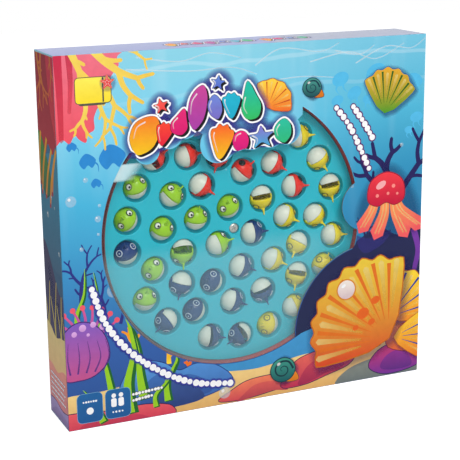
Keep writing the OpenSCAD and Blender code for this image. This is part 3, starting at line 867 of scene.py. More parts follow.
def curve(points, closed=True, steps=5):
    # a smooth line through the points
    pts = [Vector(p) for p in points]
    n = len(pts)
    out = []
    for i in range(n if closed else n - 1):
        a, b, c, d = (pts[(i + k) % n] if closed else pts[min(max(i + k, 0), n - 1)] for k in (-1, 0, 1, 2))
        for s in range(steps):
            t = s / steps
            out.append(0.5 * (2 * b + (c - a) * t + (2 * a - 5 * b + 4 * c - d) * t * t
                              + (3 * b - a - 3 * c + d) * t ** 3))
    if not closed:
        out.append(pts[-1])
    return out


def blend(a, b, t):
    return tuple(x + (y - x) * t for x, y in zip(a, b))


def fade(colour, alpha=0.0):
    return tuple(colour[:3]) + (alpha,)


def normals(line, closed):
    # unit normals to the left of a line
    n = len(line)
    out = []
    for i in range(n):
        a = line[(i - 1) % n] if closed else line[max(i - 1, 0)]
        b = line[(i + 1) % n] if closed else line[min(i + 1, n - 1)]
        d = b - a
        out.append(Vector((-d.y, d.x)).normalized() if d.length > 1e-9 else Vector((0, 1)))
    return out


def placed(points, at, turn):
    # points turned about the origin, in degrees, and moved
    c, s = math.cos(math.radians(turn)), math.sin(math.radians(turn))
    return [Vector((at[0] + x * c - y * s, at[1] + x * s + y * c)) for x, y in points]


def around(at, reach, points):
    # points given as shares of a reach from a place
    return [(at[0] + reach * x, at[1] + reach * y) for x, y in points]


def middleOf(points):
    return sum((Vector(p) for p in points), Vector((0, 0))) / len(points)


def oval(at, radius, flatness=1.0, turn=0.0):
    # the outline of a round shape
    angles = [math.tau * k / 8 for k in range(8)]
    points = [(radius * math.cos(a), radius * flatness * math.sin(a)) for a in angles]
    return curve(placed(points, at, turn), steps=3 if radius < 6 else 5)


def plain(line, colour):
    # a line with one colour all along it
    return line, [colour] * len(line)


def turning(line):
    # over zero where a closed line runs counter-clockwise
    return sum(a.x * b.y - b.x * a.y for a, b in zip(line, line[1:] + line[:1]))


def grown(line, width):
    # a closed line moved outwards
    side = -math.copysign(1.0, turning(line))
    return [p + n * side * width for p, n in zip(line, normals(line, True))]


def stroke(points, wide, narrow, foot, tip=None, steps=5):
    # the outline and the tones of a tapered stroke
    line = curve(points, closed=False, steps=steps)
    count = len(line)
    left, right, tones = [], [], []
    for i, (p, n) in enumerate(zip(line, normals(line, False))):
        t = i / (count - 1)
        half = (wide + (narrow - wide) * t) / 2
        left.append(p + n * half)
        right.append(p - n * half)
        tones.append(blend(foot, tip or foot, t))
    end = line[-1] + (line[-1] - line[-2]).normalized() * narrow * 0.45
    return left + [end] + right[::-1], tones + [tip or foot] + tones[::-1]


class Panel:
    # flat coloured shapes on one side of the carton, in mm, each a hair above the last
    first, step = 0.01, 0.001       # height of the first layer, and from one to the next
    least = 0.3                     # a shape smaller than this is left out
    tiny = 1e-5

    def __init__(self, name, body, place, low, high, holed=False, ink="printedInk"):
        self.name, self.body, self.place, self.paint = name, body, place, ink
        self.low, self.high, self.holed = low, high, holed
        self.bm = bmesh.new()
        self.ink = self.bm.loops.layers.float_color.new("ink")
        self.level = self.first

    def put(self, points, faces, tones):
        # one layer: faces are index lists into the points, tones their colours
        part = bmesh.new()
        ink = part.loops.layers.float_color.new("ink")
        verts = [part.verts.new((p.x, p.y, 0)) for p in points]
        tone = dict(zip(verts, tones))
        for face in faces:
            made = part.faces.new([verts[i] for i in face])
            for loop in made.loops:
                loop[ink] = tone[loop.vert]
        for point, normal in (((self.low[0], 0, 0), (-1, 0, 0)), ((self.high[0], 0, 0), (1, 0, 0)),
                              ((0, self.low[1], 0), (0, -1, 0)), ((0, self.high[1], 0), (0, 1, 0))):
            bmesh.ops.bisect_plane(part, geom=part.verts[:] + part.edges[:] + part.faces[:], dist=self.tiny,
                                   plane_co=point, plane_no=normal, clear_outer=True)
        flat = [f for f in part.faces if f.calc_area() < self.tiny]
        bmesh.ops.delete(part, geom=flat, context="FACES")
        for f in part.faces:
            f.normal_update()
            if f.normal.z < 0:
                f.normal_flip()
        self.level += self.step
        join(self.bm, part, Matrix.Translation((0, 0, self.level)))
        part.free()

    def lay(self, shapes):
        # one layer of filled outlines, each a pair of its points and their tones; overlaps are merged
        points, loops, tones = [], [], []
        for line, colours in shapes:
            if self.holed:
                line = [ontoCard(p) for p in line]
            if abs(turning(line)) < self.least:
                continue
            if turning(line) < 0:
                line, colours = line[::-1], colours[::-1]
            loops.append(list(range(len(points), len(points) + len(line))))
            points += line
            tones += colours
        if not loops:
            return
        out, _, faces, origins, _, owners = delaunay_2d_cdt(points, [], loops, 0, 1e-4)
        # a point of a crossing takes the tone of the nearest given point
        toned = [tones[o[0] if o else min(range(len(points)), key=lambda i: (points[i] - p).length_squared)]
                 for p, o in zip(out, origins)]
        self.put(out, [f for f, o in zip(faces, owners) if o], toned)

    def fill(self, line, top, bottom=None, rim=None, rimWidth=0.9):
        # a closed line as a shape, shaded from its bottom to its top
        if rim:
            self.lay([plain(grown(line, rimWidth), rim)])
        lowest = min(p.y for p in line)
        tall = max(max(p.y for p in line) - lowest, 1e-6)
        self.lay([(line, [blend(bottom or top, top, (p.y - lowest) / tall) for p in line])])

    def blob(self, points, top, bottom=None, rim=None, rimWidth=0.9, steps=5):
        self.fill(curve(points, steps=steps), top, bottom, rim, rimWidth)

    def halo(self, points, width, colour, shift=(0, 0), steps=5):
        # a soft edge that fades outwards from the shape's hull
        hull = convex_hull_2d([Vector(p) for p in points])
        line = [p + Vector(shift) for p in curve([points[i] for i in hull], steps=steps)]
        count = len(line)
        self.lay([plain(line, colour)])
        both = line + grown(line, width)
        if self.holed:
            both = [ontoCard(p) for p in both]
        self.put(both, [[i, (i + 1) % count, count + (i + 1) % count, count + i] for i in range(count)],
                 [colour] * count + [fade(colour)] * count)

    def stem(self, points, wide, narrow, foot, tip=None, steps=5):
        self.lay([stroke(points, wide, narrow, foot, tip, steps)])

    def round(self, at, radius, colour, flatness=1.0, turn=0.0, rim=None, rimWidth=0.6, bottom=None):
        self.fill(oval(at, radius, flatness, turn), colour, bottom, rim, rimWidth)

    def rounds(self, spots, colour):
        # many small round shapes in one layer
        self.lay([plain(oval(at, radius), colour) for at, radius in spots])

    def bubbles(self, spots):
        # clear bubbles, each x, y and radius, with a gleam
        self.rounds([((x, y), r) for x, y, r in spots], rgb(214, 240, 250, 0.34))
        self.rounds([((x - r * 0.3, y + r * 0.35), r * 0.28) for x, y, r in spots], rgb(255, 255, 255, 0.75))

    def twigs(self, at, turn, length, width, foot, tip, depth):
        # the strokes of a branching coral; each twig is shorter and thinner than its stem
        a = math.radians(turn)
        ahead = Vector((math.cos(a), math.sin(a)))
        bend = Vector((-ahead.y, ahead.x)) * draw.uniform(-0.10, 0.10) * length
        start = Vector(at)
        end = start + ahead * length
        middle = start.lerp(end, 0.5)
        made = [stroke([start, middle + bend, end], width, width * 0.74, foot, blend(foot, tip, 0.5))]
        if depth > 0:
            for side in (-1, 1):
                made += self.twigs(end - ahead * width * 0.2, turn + side * draw.uniform(18, 42),
                                   length * draw.uniform(0.52, 0.8), width * 0.72,
                                   blend(foot, tip, 0.4), tip, depth - 1)
        if depth > 1:
            made += self.twigs(middle, turn + draw.choice((-1, 1)) * draw.uniform(35, 60),
                               length * 0.42, width * 0.56, blend(foot, tip, 0.3), tip, 0)
        return made

    def corals(self, rows, foot, tip, depth=2):
        # branching corals, each with its place, turn, length and width
        for row in rows:
            self.lay(self.twigs(*row, foot, tip, depth))

    def weeds(self, rows):
        # leaves with a dark edge, each with its place, height, lean and width
        light, dark = hues["leaf"], hues["leafDark"]
        for (x, y), height, lean, width in rows:
            line = [(x, y), (x + lean * 0.1 - 2, y + height * 0.3), (x + lean * 0.55 + 2, y + height * 0.62),
                    (x + lean, y + height)]
            self.stem([(a + width * 0.22, b - 1) for a, b in line], width, 0.4, dark, dark)
            self.stem(line, width * 0.82, 0.3, light, light)

    def rocks(self, rows):
        # rocks with a paler face, each with its outline, top and bottom colours, and its own edge's or none
        for points, top, bottom, *edge in rows:
            rim = edge[0] if edge else hues["edge"]
            self.blob(points, top, bottom, rim, 0.8)
            middle = middleOf(points)
            inner = [middle.lerp(Vector(p), 0.62) + Vector((2.0, -0.16 * (Vector(p) - middle).length))
                     for p in points]
            self.blob(inner, blend(top, bottom, 0.75), blend(bottom, rim, 0.35))

    def scallop(self, at, radius, turn, spread, ribs, light, deep, stripe, edge):
        # a fan shell: ribs from its hinge, a scalloped margin and dark grooves
        hinge = Vector(at)
        tips = []
        for k in range(ribs + 1):
            a = math.radians(turn - spread / 2 + spread * k / ribs)
            tips.append((Vector((math.cos(a), math.sin(a))),
                         radius * (1.0 - 0.16 * abs(2 * k / ribs - 1) ** 2)))
        outline = [hinge]
        for (a, r), (b, s) in zip(tips, tips[1:]):
            outline += [hinge + a * r * 0.965, hinge + (a + b).normalized() * (r + s) / 2 * 1.02]
        outline.append(hinge + tips[-1][0] * tips[-1][1] * 0.965)
        self.halo(outline, radius * 0.09, rgb(40, 36, 100, 0.4), (radius * 0.03, -radius * 0.04), steps=3)
        self.blob(outline, light, deep, edge, max(0.6, radius * 0.014), steps=3)
        self.lay([stroke([hinge + a * r * 0.93, hinge + a * r * 0.62, hinge + a * r * 0.24], radius * 0.05,
                         radius * 0.006, stripe) for a, r in tips[1:-1]])
        self.lay([stroke([hinge + (a + b).normalized() * radius * t for t in (0.34, 0.62, 0.86)],
                         radius * 0.02, radius * 0.07, fade(light, 0.3), rgb(255, 240, 150, 0.5))
                  for (a, _), (b, _) in zip(tips, tips[1:])])

    def star(self, at, radius, turn, light, deep, edge):
        # a sea star with small pale dots along its arms
        ways = [Vector((math.cos(a), math.sin(a))) for a in (math.radians(turn + 36 * k) for k in range(10))]
        points = [Vector(at) + way * radius * (1.0 if k % 2 == 0 else 0.47) for k, way in enumerate(ways)]
        self.halo(points, radius * 0.3, rgb(60, 52, 130, 0.3), (radius * 0.08, -radius * 0.1), steps=3)
        self.blob(points, light, deep, edge, radius * 0.05, steps=4)
        self.rounds([(Vector(at) + way * radius * far, radius * size) for way in ways[::2]
                     for far, size in ((0.25, 0.075), (0.48, 0.06), (0.68, 0.045))],
                    blend(light, fullWhite, 0.45))

    def snail(self, at, radius, light, deep, spot, edge):
        # a round shell with a spiral groove
        x, y = at
        self.halo(around(at, radius, ((-1, 0), (0, 1), (1, 0), (0, -1))), radius * 0.3,
                  rgb(30, 30, 90, 0.5), (radius * 0.12, -radius * 0.12))
        self.blob(around(at, radius, ((0.2, -0.9), (1.25, -0.95), (1.1, -0.35), (0.6, 0))), spot,
                  shade(spot, 0.7), edge, 0.5)
        self.round(at, radius, light, 0.92, rim=edge, rimWidth=radius * 0.07, bottom=deep)
        spiral = []
        for k in range(12):
            a, r = k * 0.95, radius * (0.86 - 0.068 * k)
            spiral.append((x + r * math.cos(a), y + r * 0.92 * math.sin(a)))
        self.stem(spiral, radius * 0.17, radius * 0.04, edge, edge, steps=3)
        self.round((x - radius * 0.35, y + radius * 0.5), radius * 0.16, rgb(255, 255, 255, 0.6), 0.7, 30)

    def jelly(self, at, radius, light, deep, ribbon, tip, edge):
        # a round bell over long ribbons
        x, y = at
        for side, reach, sway in ((-0.8, 1.6, -0.5), (-0.15, 2.0, -0.35), (0.6, 2.1, 0.5), (0.9, 1.8, 1.0)):
            path = around(at, radius, ((side * 0.6, 0), (side * 1.1 - sway * 0.2, -reach * 0.5),
                                       (side + sway, -reach)))
            self.stem(path, radius * 0.34, radius * 0.78, ribbon, tip)
            self.lay([stroke([(a + shift, b) for a, b in path], radius * 0.04, radius * 0.08,
                             rgb(255, 236, 150, 0.8), rgb(255, 200, 130, 0.5))
                      for shift in (-radius * 0.09, radius * 0.09)])
        bell = around(at, radius, ((-1, -0.3), (-0.85, 0.6), (0, 1), (0.85, 0.6), (1, -0.3),
                                   (0.5, -0.62), (0, -0.46), (-0.5, -0.62)))
        self.blob(bell, light, deep, edge, radius * 0.05)
        self.round((x - radius * 0.3, y + radius * 0.4), radius * 0.3, blend(light, fullWhite, 0.4), 0.55, 30)
        self.rounds([((x + dx * radius, y + dy * radius), radius * r) for dx, dy, r in
                     ((0.4, 0.3, 0.10), (0.1, -0.05, 0.08), (0.62, -0.1, 0.07), (-0.5, -0.12, 0.09))],
                    blend(light, (1, 0.6, 0.5, 1), 0.4))

    def beads(self, points, count, big, small, edge, halo=None):
        # a string of small beads where the photo has words
        line = curve(points, closed=False, steps=40)
        run = [0.0]
        for a, b in zip(line, line[1:]):
            run.append(run[-1] + (b - a).length)
        spots = []
        for k in range(count):
            goal = run[-1] * k / (count - 1)
            spots.append((line[min(range(len(run)), key=lambda i: abs(run[i] - goal))],
                          big if k % 3 else small))
        if halo:
            self.rounds([(p, r * 1.7) for p, r in spots], halo)
        self.rounds([(p, r * 1.4) for p, r in spots], edge)
        self.rounds(spots, hues["white"])

    def title(self, rows, glow=7.0, scale=1.0):
        # rows of coloured beads: a soft glow, white edges, dark drops, then the beads with their gleam
        white, dark = hues["white"], rgb(12, 12, 16)
        forms = [placed([(x * wide / 2, y * tall / 2) for x, y in beadForms[kind]], at, turn)
                 for at, wide, tall, turn, light, deep, kind in rows]
        for points in forms:
            middle = middleOf(points)
            self.halo([p + (p - middle).normalized() * 2.2 * scale for p in points], glow,
                      rgb(64, 52, 150, 0.72), (1.2 * scale, -1.6 * scale))
        lines = [curve(points) for points in forms]
        drop = Vector((2.1, -1.9)) * scale
        self.lay([plain(grown(line, 2.0 * scale), white) for line in lines]
                 + [plain(grown([p + drop for p in line], 1.6 * scale), white) for line in lines])
        for t in (0.5, 1.0):
            self.lay([plain([p + drop * t for p in line], dark) for line in lines])
        for line, points, (at, *_, light, deep, kind) in zip(lines, forms, rows):
            self.fill(line, light, deep, dark, 0.35 * scale)
            self.stem([p.lerp(Vector(at), 0.26) for p in points[1:4]], 0.6 * scale, 1.4 * scale,
                      rgb(255, 255, 255, 0.35), rgb(255, 255, 255, 0.7))

    def box(self, at, wide, tall, radius, top, bottom=None, rim=None, rimWidth=0.6):
        # a rectangle with round corners
        left, low, right, high = at[0] + radius, at[1] + radius, at[0] + wide - radius, at[1] + tall - radius
        points = []
        for x, y, start in ((right, high, 0), (left, high, 90), (left, low, 180), (right, low, 270)):
            for k in range(4):
                a = math.radians(start + 30 * k)
                points.append((x + radius * math.cos(a), y + radius * math.sin(a)))
        self.blob(points, top, bottom, rim, rimWidth, steps=1)

    def finish(self):
        print(self.name, "ink", round(self.level, 3), "mm of", carton["inkRoom"])
        makePiece(self.bm, self.name, self.body, [finishes[self.paint]], smooth=False,
                  place=self.place)


hues = {
    # colours of the print, as the photo shows them
    "pink": rgb(232, 104, 128), "pinkDeep": rgb(196, 44, 74), "crimson": rgb(160, 28, 50),
    "straw": rgb(244, 218, 98), "strawTip": rgb(240, 196, 78), "white": rgb(250, 250, 252),
    "navy": rgb(34, 28, 88), "navyRock": rgb(30, 34, 78), "navyDeep": rgb(28, 38, 72),
    "skyShape": rgb(84, 186, 230), "seaShape": rgb(44, 136, 208),
    "sand": rgb(246, 212, 140), "sandDeep": rgb(214, 160, 92), "greySand": rgb(140, 146, 136),
    "blueRock": rgb(88, 154, 222), "blueRockDeep": rgb(52, 88, 160),
    "coralRock": rgb(236, 108, 92), "coralRockDeep": rgb(186, 46, 84), "plumRock": rgb(112, 48, 150),
    "leaf": rgb(150, 204, 40), "leafDark": rgb(28, 96, 44), "plum": rgb(128, 92, 190),
    "plumPink": rgb(196, 84, 140),
    "badge": rgb(28, 96, 162), "gold": rgb(255, 220, 56), "orange": rgb(238, 112, 34),
    "edge": rgb(30, 26, 70), "frame": rgb(86, 86, 74), "slogan": rgb(96, 34, 104),
    "smallPrint": rgb(90, 90, 96),
    "starTop": rgb(248, 130, 70), "starFoot": rgb(226, 70, 70), "starEdge": rgb(250, 190, 120),
}

# outlines of the title's charms, half their size to each side
beadForms = {
    "drop": [(0, -1.0), (-0.66, -0.86), (-0.98, -0.3), (-0.6, 0.35), (0, 1.1), (0.6, 0.35), (0.98, -0.3),
             (0.66, -0.86)],
    "oval": [(-0.72, -0.72), (-1.0, 0), (-0.72, 0.72), (0, 1.0), (0.72, 0.72), (1.0, 0), (0.72, -0.72),
             (0, -1.0)],
    "fan": [(0.28, -1.0), (-0.28, -1.0), (-0.98, 0.15), (-1.0, 0.62), (-0.62, 0.74), (-0.36, 1.0), (0, 0.88),
            (0.36, 1.0), (0.62, 0.74), (1.0, 0.62), (0.98, 0.15)],
    "star": [(0, -0.52), (-0.66, -0.95), (-0.5, -0.16), (-1.02, 0.34), (-0.32, 0.42), (0, 1.1), (0.32, 0.42),
             (1.02, 0.34), (0.5, -0.16), (0.66, -0.95)],
    "leaf": [(-0.1, -1.05), (-0.86, -0.5), (-0.95, 0.3), (-0.4, 0.85), (0.35, 1.05), (0.9, 0.5),
             (0.88, -0.35), (0.45, -0.85)],
}

# title row: place, width, height, turn, top and bottom colours, form
titleBeads = [
    ((-104, 267), 27, 35, -24, rgb(244, 120, 40), rgb(246, 196, 30), "leaf"),
    ((-88, 292), 13, 12, 12, rgb(250, 96, 84), rgb(236, 60, 60), "star"),
    ((-86, 267), 15, 20, -16, rgb(246, 70, 50), rgb(228, 30, 60), "fan"),
    ((-70, 276), 17, 23, -20, rgb(232, 44, 120), rgb(214, 26, 110), "drop"),
    ((-53, 288), 18, 38, -10, rgb(200, 70, 150), rgb(166, 62, 164), "leaf"),
    ((-33, 309), 13, 12, -10, rgb(100, 138, 214), rgb(84, 100, 200), "star"),
    ((-36, 287), 14, 21, 14, rgb(108, 134, 214), rgb(122, 108, 196), "leaf"),
    ((-20, 288), 17, 22, 0, rgb(36, 180, 208), rgb(30, 168, 200), "fan"),
    ((-1, 290), 20, 34, 8, rgb(28, 186, 170), rgb(52, 190, 96), "drop"),
    ((-30, 256), 22, 30, -8, rgb(246, 90, 40), rgb(248, 190, 30), "fan"),
    ((-11, 254), 16, 19, 0, rgb(236, 36, 120), rgb(206, 24, 120), "oval"),
    ((10, 256), 24, 19, 4, rgb(134, 110, 204), rgb(60, 170, 214), "star"),
    ((32, 260), 18, 21, 8, rgb(44, 190, 160), rgb(46, 184, 120), "leaf"),
]


def upright(at, turn=0):
    # the place of an upright panel that faces the front before its turn in degrees
    return Matrix.Translation(at) @ Matrix.Rotation(math.radians(turn), 4, "Z") @ quarter("X")


def paintWater(front):
    h = hues
    # wavy lights under the surface
    for line in ([(-110, 336), (-70, 330), (-40, 336), (-10, 330)],
                 [(-120, 326), (-60, 321), (-20, 322), (6, 314)], [(4, 322), (30, 336), (70, 331), (90, 338)],
                 [(60, 322), (100, 329), (130, 321), (160, 334)], [(108, 318), (140, 332), (168, 329),
                                                                   (184, 338)],
                 [(10, 306), (50, 309), (86, 306)], [(86, 331), (112, 326), (128, 334)]):
        front.stem(line, 1.3, 0.9, rgb(226, 246, 252, 0.55), rgb(226, 246, 252, 0.4))
    # pale shapes far off in the water
    for x, y, r, turn in ((92, 304, 9, 20), (107, 290, 8, 30), (89, 284, 6.5, 20), (130, 308, 11, 25),
                          (122, 283, 6, 0), (173, 298, 9, -20), (176, 262, 7, 10), (168, 250, 5, 0)):
        front.round((x, y), r, h["skyShape"], 0.72, turn)
        for line in (((-0.3, -0.5), (-0.5, -1.1), (-0.1, -1.6)), ((0.3, -0.5), (0.4, -1.0), (0.8, -1.4))):
            front.stem(around((x, y), r, line), r * 0.3, 0.4, h["skyShape"])
    for x, y, r in ((-134, 250, 13), (-157, 248, 8), (-150, 228, 5), (-171, 262, 5)):
        front.blob(around((x, y), r, ((-1, 0), (-0.2, 0.9), (0.9, 0.2), (0.5, -0.7), (0, -0.4),
                                      (-0.5, -0.8))), h["seaShape"])
        front.stem(around((x, y), r, ((0.5, 0), (1.1, -0.4), (1.2, -1.2))), r * 0.24, 0.3, h["seaShape"])


def paintTopLeft(front):
    h = hues
    # coral, a yellow label and a star
    front.blob([(-190, 350), (-116, 350), (-127, 338), (-126, 330), (-134, 320), (-137, 310), (-136, 302),
                (-145, 296), (-150, 286), (-150, 276), (-156, 272), (-158, 265), (-164, 268), (-168, 272),
                (-173, 265), (-179, 269), (-190, 268)], rgb(236, 120, 140), rgb(238, 84, 100))
    front.stem([(-181, 344), (-180, 310), (-180, 268)], 8, 4, rgb(212, 42, 80, 0.8), rgb(222, 60, 80, 0.5))
    front.stem([(-171, 344), (-170, 318), (-172, 292)], 6, 3, rgb(214, 52, 86, 0.7), rgb(222, 60, 80, 0.3))
    front.corals([((-152, 348), -42, 36, 8), ((-170, 346), -66, 22, 7), ((-128, 345), -14, 18, 4),
                  ((-141, 318), -66, 26, 5.5), ((-157, 300), -104, 17, 4.5), ((-146, 302), -70, 20, 4.5)],
                 h["straw"], h["strawTip"])
    front.box((-164, 297), 26, 22, 3, h["frame"])
    front.box((-166, 299), 32, 22, 3, rgb(255, 236, 90), rgb(250, 222, 50), h["frame"], 0.7)
    front.stem([(-141, 299.5), (-141, 310), (-141, 320.5)], 1.4, 1.4, h["frame"])
    front.star((-137, 316), 6.5, 20, rgb(236, 96, 84), rgb(222, 60, 70), rgb(240, 140, 90))


def paintRight(front):
    h = hues
    # far branches, the rock and the jelly
    front.corals([((148, 184), 100, 30, 9), ((160, 190), 52, 34, 7), ((138, 196), 140, 22, 6),
                  ((121, 150), 100, 9, 2.2), ((123, 150), 62, 8, 2.0)], h["navy"], h["navy"])
    front.blob([(50, 22), (45.5, 50), (46, 72), (56.5, 99.5), (75, 121.5), (100, 137), (114, 146), (136, 156),
                (158, 146), (174, 152), (196, 150), (196, 20)], h["navyRock"], h["navyDeep"])
    front.blob([(110, 150), (126, 146), (150, 152), (140, 138), (120, 132)], rgb(62, 60, 140, 0.5))
    front.stem([(176, 150), (182, 128), (178, 104), (186, 86)], 7, 4, rgb(126, 60, 168), rgb(90, 44, 140))
    front.halo([(122, 190), (146, 214), (170, 190), (176, 150), (146, 158), (120, 160)], 8,
               rgb(30, 40, 100, 0.35))
    front.jelly((144, 190), 20, rgb(244, 60, 72), rgb(196, 22, 60), rgb(252, 170, 84), rgb(240, 88, 96),
                h["crimson"])


def paintBottom(front):
    h = hues
    # open water, sand and rocks
    front.blob([(-70, 30), (-20, 46), (30, 54), (80, 62), (90, 20), (0, 10)], rgb(66, 152, 206),
               rgb(60, 132, 190))
    front.blob([(-196, -6), (-196, 30), (-150, 34), (-100, 38), (-40, 34), (0, 31), (30, 34), (80, 38),
                (196, 30), (196, -6)], h["sand"], h["sandDeep"])
    front.blob([(96, -4), (104, 14), (150, 24), (196, 26), (196, -4)], h["greySand"], rgb(96, 108, 112))
    for x, y, r in ((-120, 76, 14), (-86, 62, 12), (-98, 88, 9), (-66, 46, 8)):
        front.corals([((x, y - r), 90, r, 5)], h["gold"] if y > 50 else h["orange"], h["orange"])
    front.rocks([([(-138, 12), (-130, 44), (-112, 56), (-92, 52), (-76, 42), (-58, 46), (-36, 40), (-22, 22),
                   (-60, 10), (-104, 6)], h["blueRock"], h["blueRockDeep"], rgb(34, 52, 116))])
    front.blob([(-100, 8), (-94, 30), (-80, 38), (-64, 28), (-52, 10)], rgb(60, 88, 150), rgb(40, 62, 120))
    front.rocks([
        ([(-36, 4), (-24, 12), (-6, 20), (20, 22), (44, 20), (52, 10), (24, 6), (-10, 2)], rgb(240, 128, 92),
         rgb(206, 74, 84)),
        ([(30, 8), (44, 30), (66, 38), (92, 42), (112, 34), (106, 20), (80, 12), (54, 6)], h["coralRock"],
         h["coralRockDeep"]),
        ([(84, 46), (96, 60), (122, 62), (146, 50), (140, 34), (112, 32)], h["plumRock"], h["coralRockDeep"]),
        ([(70, 62), (80, 76), (98, 70), (96, 54)], rgb(120, 64, 170), h["plumRock"]),
        ([(128, 12), (138, 28), (160, 34), (180, 26), (186, 8), (150, 2)], rgb(196, 60, 110), h["plumRock"]),
        ([(150, 30), (152, 56), (168, 66), (192, 60), (192, 24)], rgb(244, 150, 50), rgb(214, 92, 60),
         rgb(120, 40, 60)),
        ([(-196, -4), (-196, 14), (-170, 16), (-140, 13), (-110, 14), (-84, 8), (-92, -4)], rgb(232, 92, 100),
         rgb(200, 54, 84)),
    ])


def paintLowerLeft(front):
    h = hues
    # far branches, weed, an anemone and a round coral with its spots and grooves
    front.corals([((-146, 104), 100, 20, 3.4), ((-132, 96), 76, 18, 3.2), ((-168, 116), 88, 22, 4)],
                 rgb(44, 46, 124), rgb(44, 52, 132), 3)
    front.weeds([((-126, 8), 96, 6, 13), ((-112, 20), 80, -12, 11), ((-140, 10), 92, -22, 9),
                 ((-150, 60), 88, -6, 5), ((-118, 60), 86, -24, 6), ((-88, 14), 62, 14, 8),
                 ((-100, 10), 40, 20, 6), ((-172, 90), 62, 8, 6), ((-152, 4), 34, -18, 8)])
    for k in range(9):
        a = math.radians(36 + 14 * k)
        foot = (-166 + 12 * math.cos(a), 80 + 12 * math.sin(a))
        top = (-166 + 38 * math.cos(a), 78 + 38 * math.sin(a))
        front.stem([foot, ((foot[0] + top[0]) / 2 + 2, (foot[1] + top[1]) / 2), top], 3.4, 1.8, h["plum"],
                   rgb(232, 84, 130))
        front.round(top, 2.6, rgb(240, 90, 110))
    front.blob([(-188, 52), (-190, 84), (-178, 100), (-162, 101), (-148, 88), (-144, 66), (-156, 52),
                (-172, 48)], h["plum"], h["plumPink"], rgb(66, 40, 110), 1.0)
    for x, y, r in ((-176, 92, 2.6), (-168, 97, 3.4), (-158, 99, 2.8), (-149, 96, 3.2), (-143, 88, 2.2),
                    (-163, 90, 1.6)):
        front.round((x, y), r, rgb(226, 176, 232), bottom=rgb(206, 150, 214))
    for x, lean in ((-182, -1), (-173, 1), (-164, 2), (-155, 3), (-147, 3)):
        front.stem([(x - lean, 54), (x + lean, 68), (x, 84)], 1.8, 0.5, rgb(88, 60, 150, 0.7),
                   rgb(88, 60, 150, 0.4))


def paintShells(front):
    h = hues
    # the upper shells and a snail
    front.scallop((16, 283), 27, 52, 130, 5, rgb(255, 214, 70), rgb(240, 104, 40), rgb(200, 70, 30),
                  rgb(176, 84, 20))
    front.snail((62, 298), 9.5, rgb(70, 150, 140), rgb(20, 70, 80), rgb(240, 130, 30), rgb(14, 50, 66))
    front.scallop((140, 268), 44, 78, 96, 6, rgb(232, 170, 50), rgb(70, 150, 40), rgb(44, 96, 30),
                  rgb(34, 96, 160))
    # the lower shells, the big one last, a snail, the pearl and spots
    front.scallop((150, 62), 54, 38, 96, 5, rgb(255, 222, 60), rgb(240, 140, 40), rgb(40, 70, 150),
                  rgb(190, 100, 20))
    front.scallop((156, 40), 44, -2, 80, 4, rgb(252, 206, 56), rgb(236, 120, 40), rgb(40, 70, 150),
                  rgb(190, 100, 20))
    front.scallop((150, 40), 93, 136, 116, 9, rgb(234, 202, 64), rgb(214, 72, 38), rgb(222, 112, 34),
                  rgb(196, 104, 24))
    front.snail((32, 25), 13, rgb(60, 150, 134), rgb(16, 84, 90), rgb(242, 140, 40), rgb(12, 52, 62))
    front.round((101, 97), 9.5, rgb(246, 236, 226), rim=rgb(214, 132, 44), rimWidth=1.4,
                bottom=rgb(214, 190, 196))
    front.round((98, 101), 2.6, h["white"], 0.6, 30)
    for x, y, r in ((120, 70, 7), (134, 82, 5), (112, 56, 3.4), (130, 60, 4)):
        front.round((x, y), r, rgb(236, 104, 36, 0.9), 0.8, 20)


def paintLabels(front):
    h = hues
    # the title, slogans as strings of beads, plain badges and a few bubbles
    front.title(titleBeads)
    front.beads([(106, 277), (117, 262), (127, 246)], 8, 3.0, 2.4, h["slogan"])
    front.beads([(88, 277), (104, 256), (124, 216)], 13, 3.0, 2.4, h["slogan"])
    front.beads([(-158, 132), (-146, 98), (-122, 66), (-88, 40), (-56, 26), (-24, 21)], 32, 3.3, 2.7,
                rgb(52, 56, 152), rgb(56, 60, 160, 0.35))
    front.beads([(-122, 26), (-108, 27), (-94, 28)], 10, 1.5, 1.2, h["smallPrint"])
    front.beads([(-122, 20), (-114, 21), (-104, 22)], 7, 1.5, 1.2, h["smallPrint"])
    for x in (-176, -149):
        front.box((x, 6), 24, 28, 4.5, rgb(34, 98, 158), rgb(30, 88, 148), rgb(120, 170, 210), 0.4)
    front.beads([(-170, 26), (-164, 26), (-158, 26)], 6, 1.0, 0.8, h["badge"])
    front.round((-164, 17), 3.4, h["white"])
    for x in (-141, -134):
        front.round((x, 28), 2.2, h["white"])
        front.box((x - 2.6, 17), 5.2, 8.4, 1.6, h["white"])
    front.beads([(-142, 12), (-137, 12), (-133, 12)], 4, 1.0, 0.8, h["badge"])
    front.bubbles([(-174, 214, 5), (-160, 232, 2.4), (-150, 196, 3), (-148, 208, 1.6), (-138, 128, 6),
                   (-166, 170, 2), (-142, 168, 1.6), (-30, 12, 6), (-150, 182, 1.4), (96, 160, 2),
                   (160, 236, 2), (106, 200, 1.6)])


def printFront():
    front = Panel("frontPrint", "box", upright((0, -28.6, 0)), (-184.5, 0.5), (184.5, 341.3), holed=True)
    for paint in (paintWater, paintTopLeft, paintRight, paintBottom, paintLowerLeft, paintShells,
                  paintLabels):
        paint(front)
    front.finish()


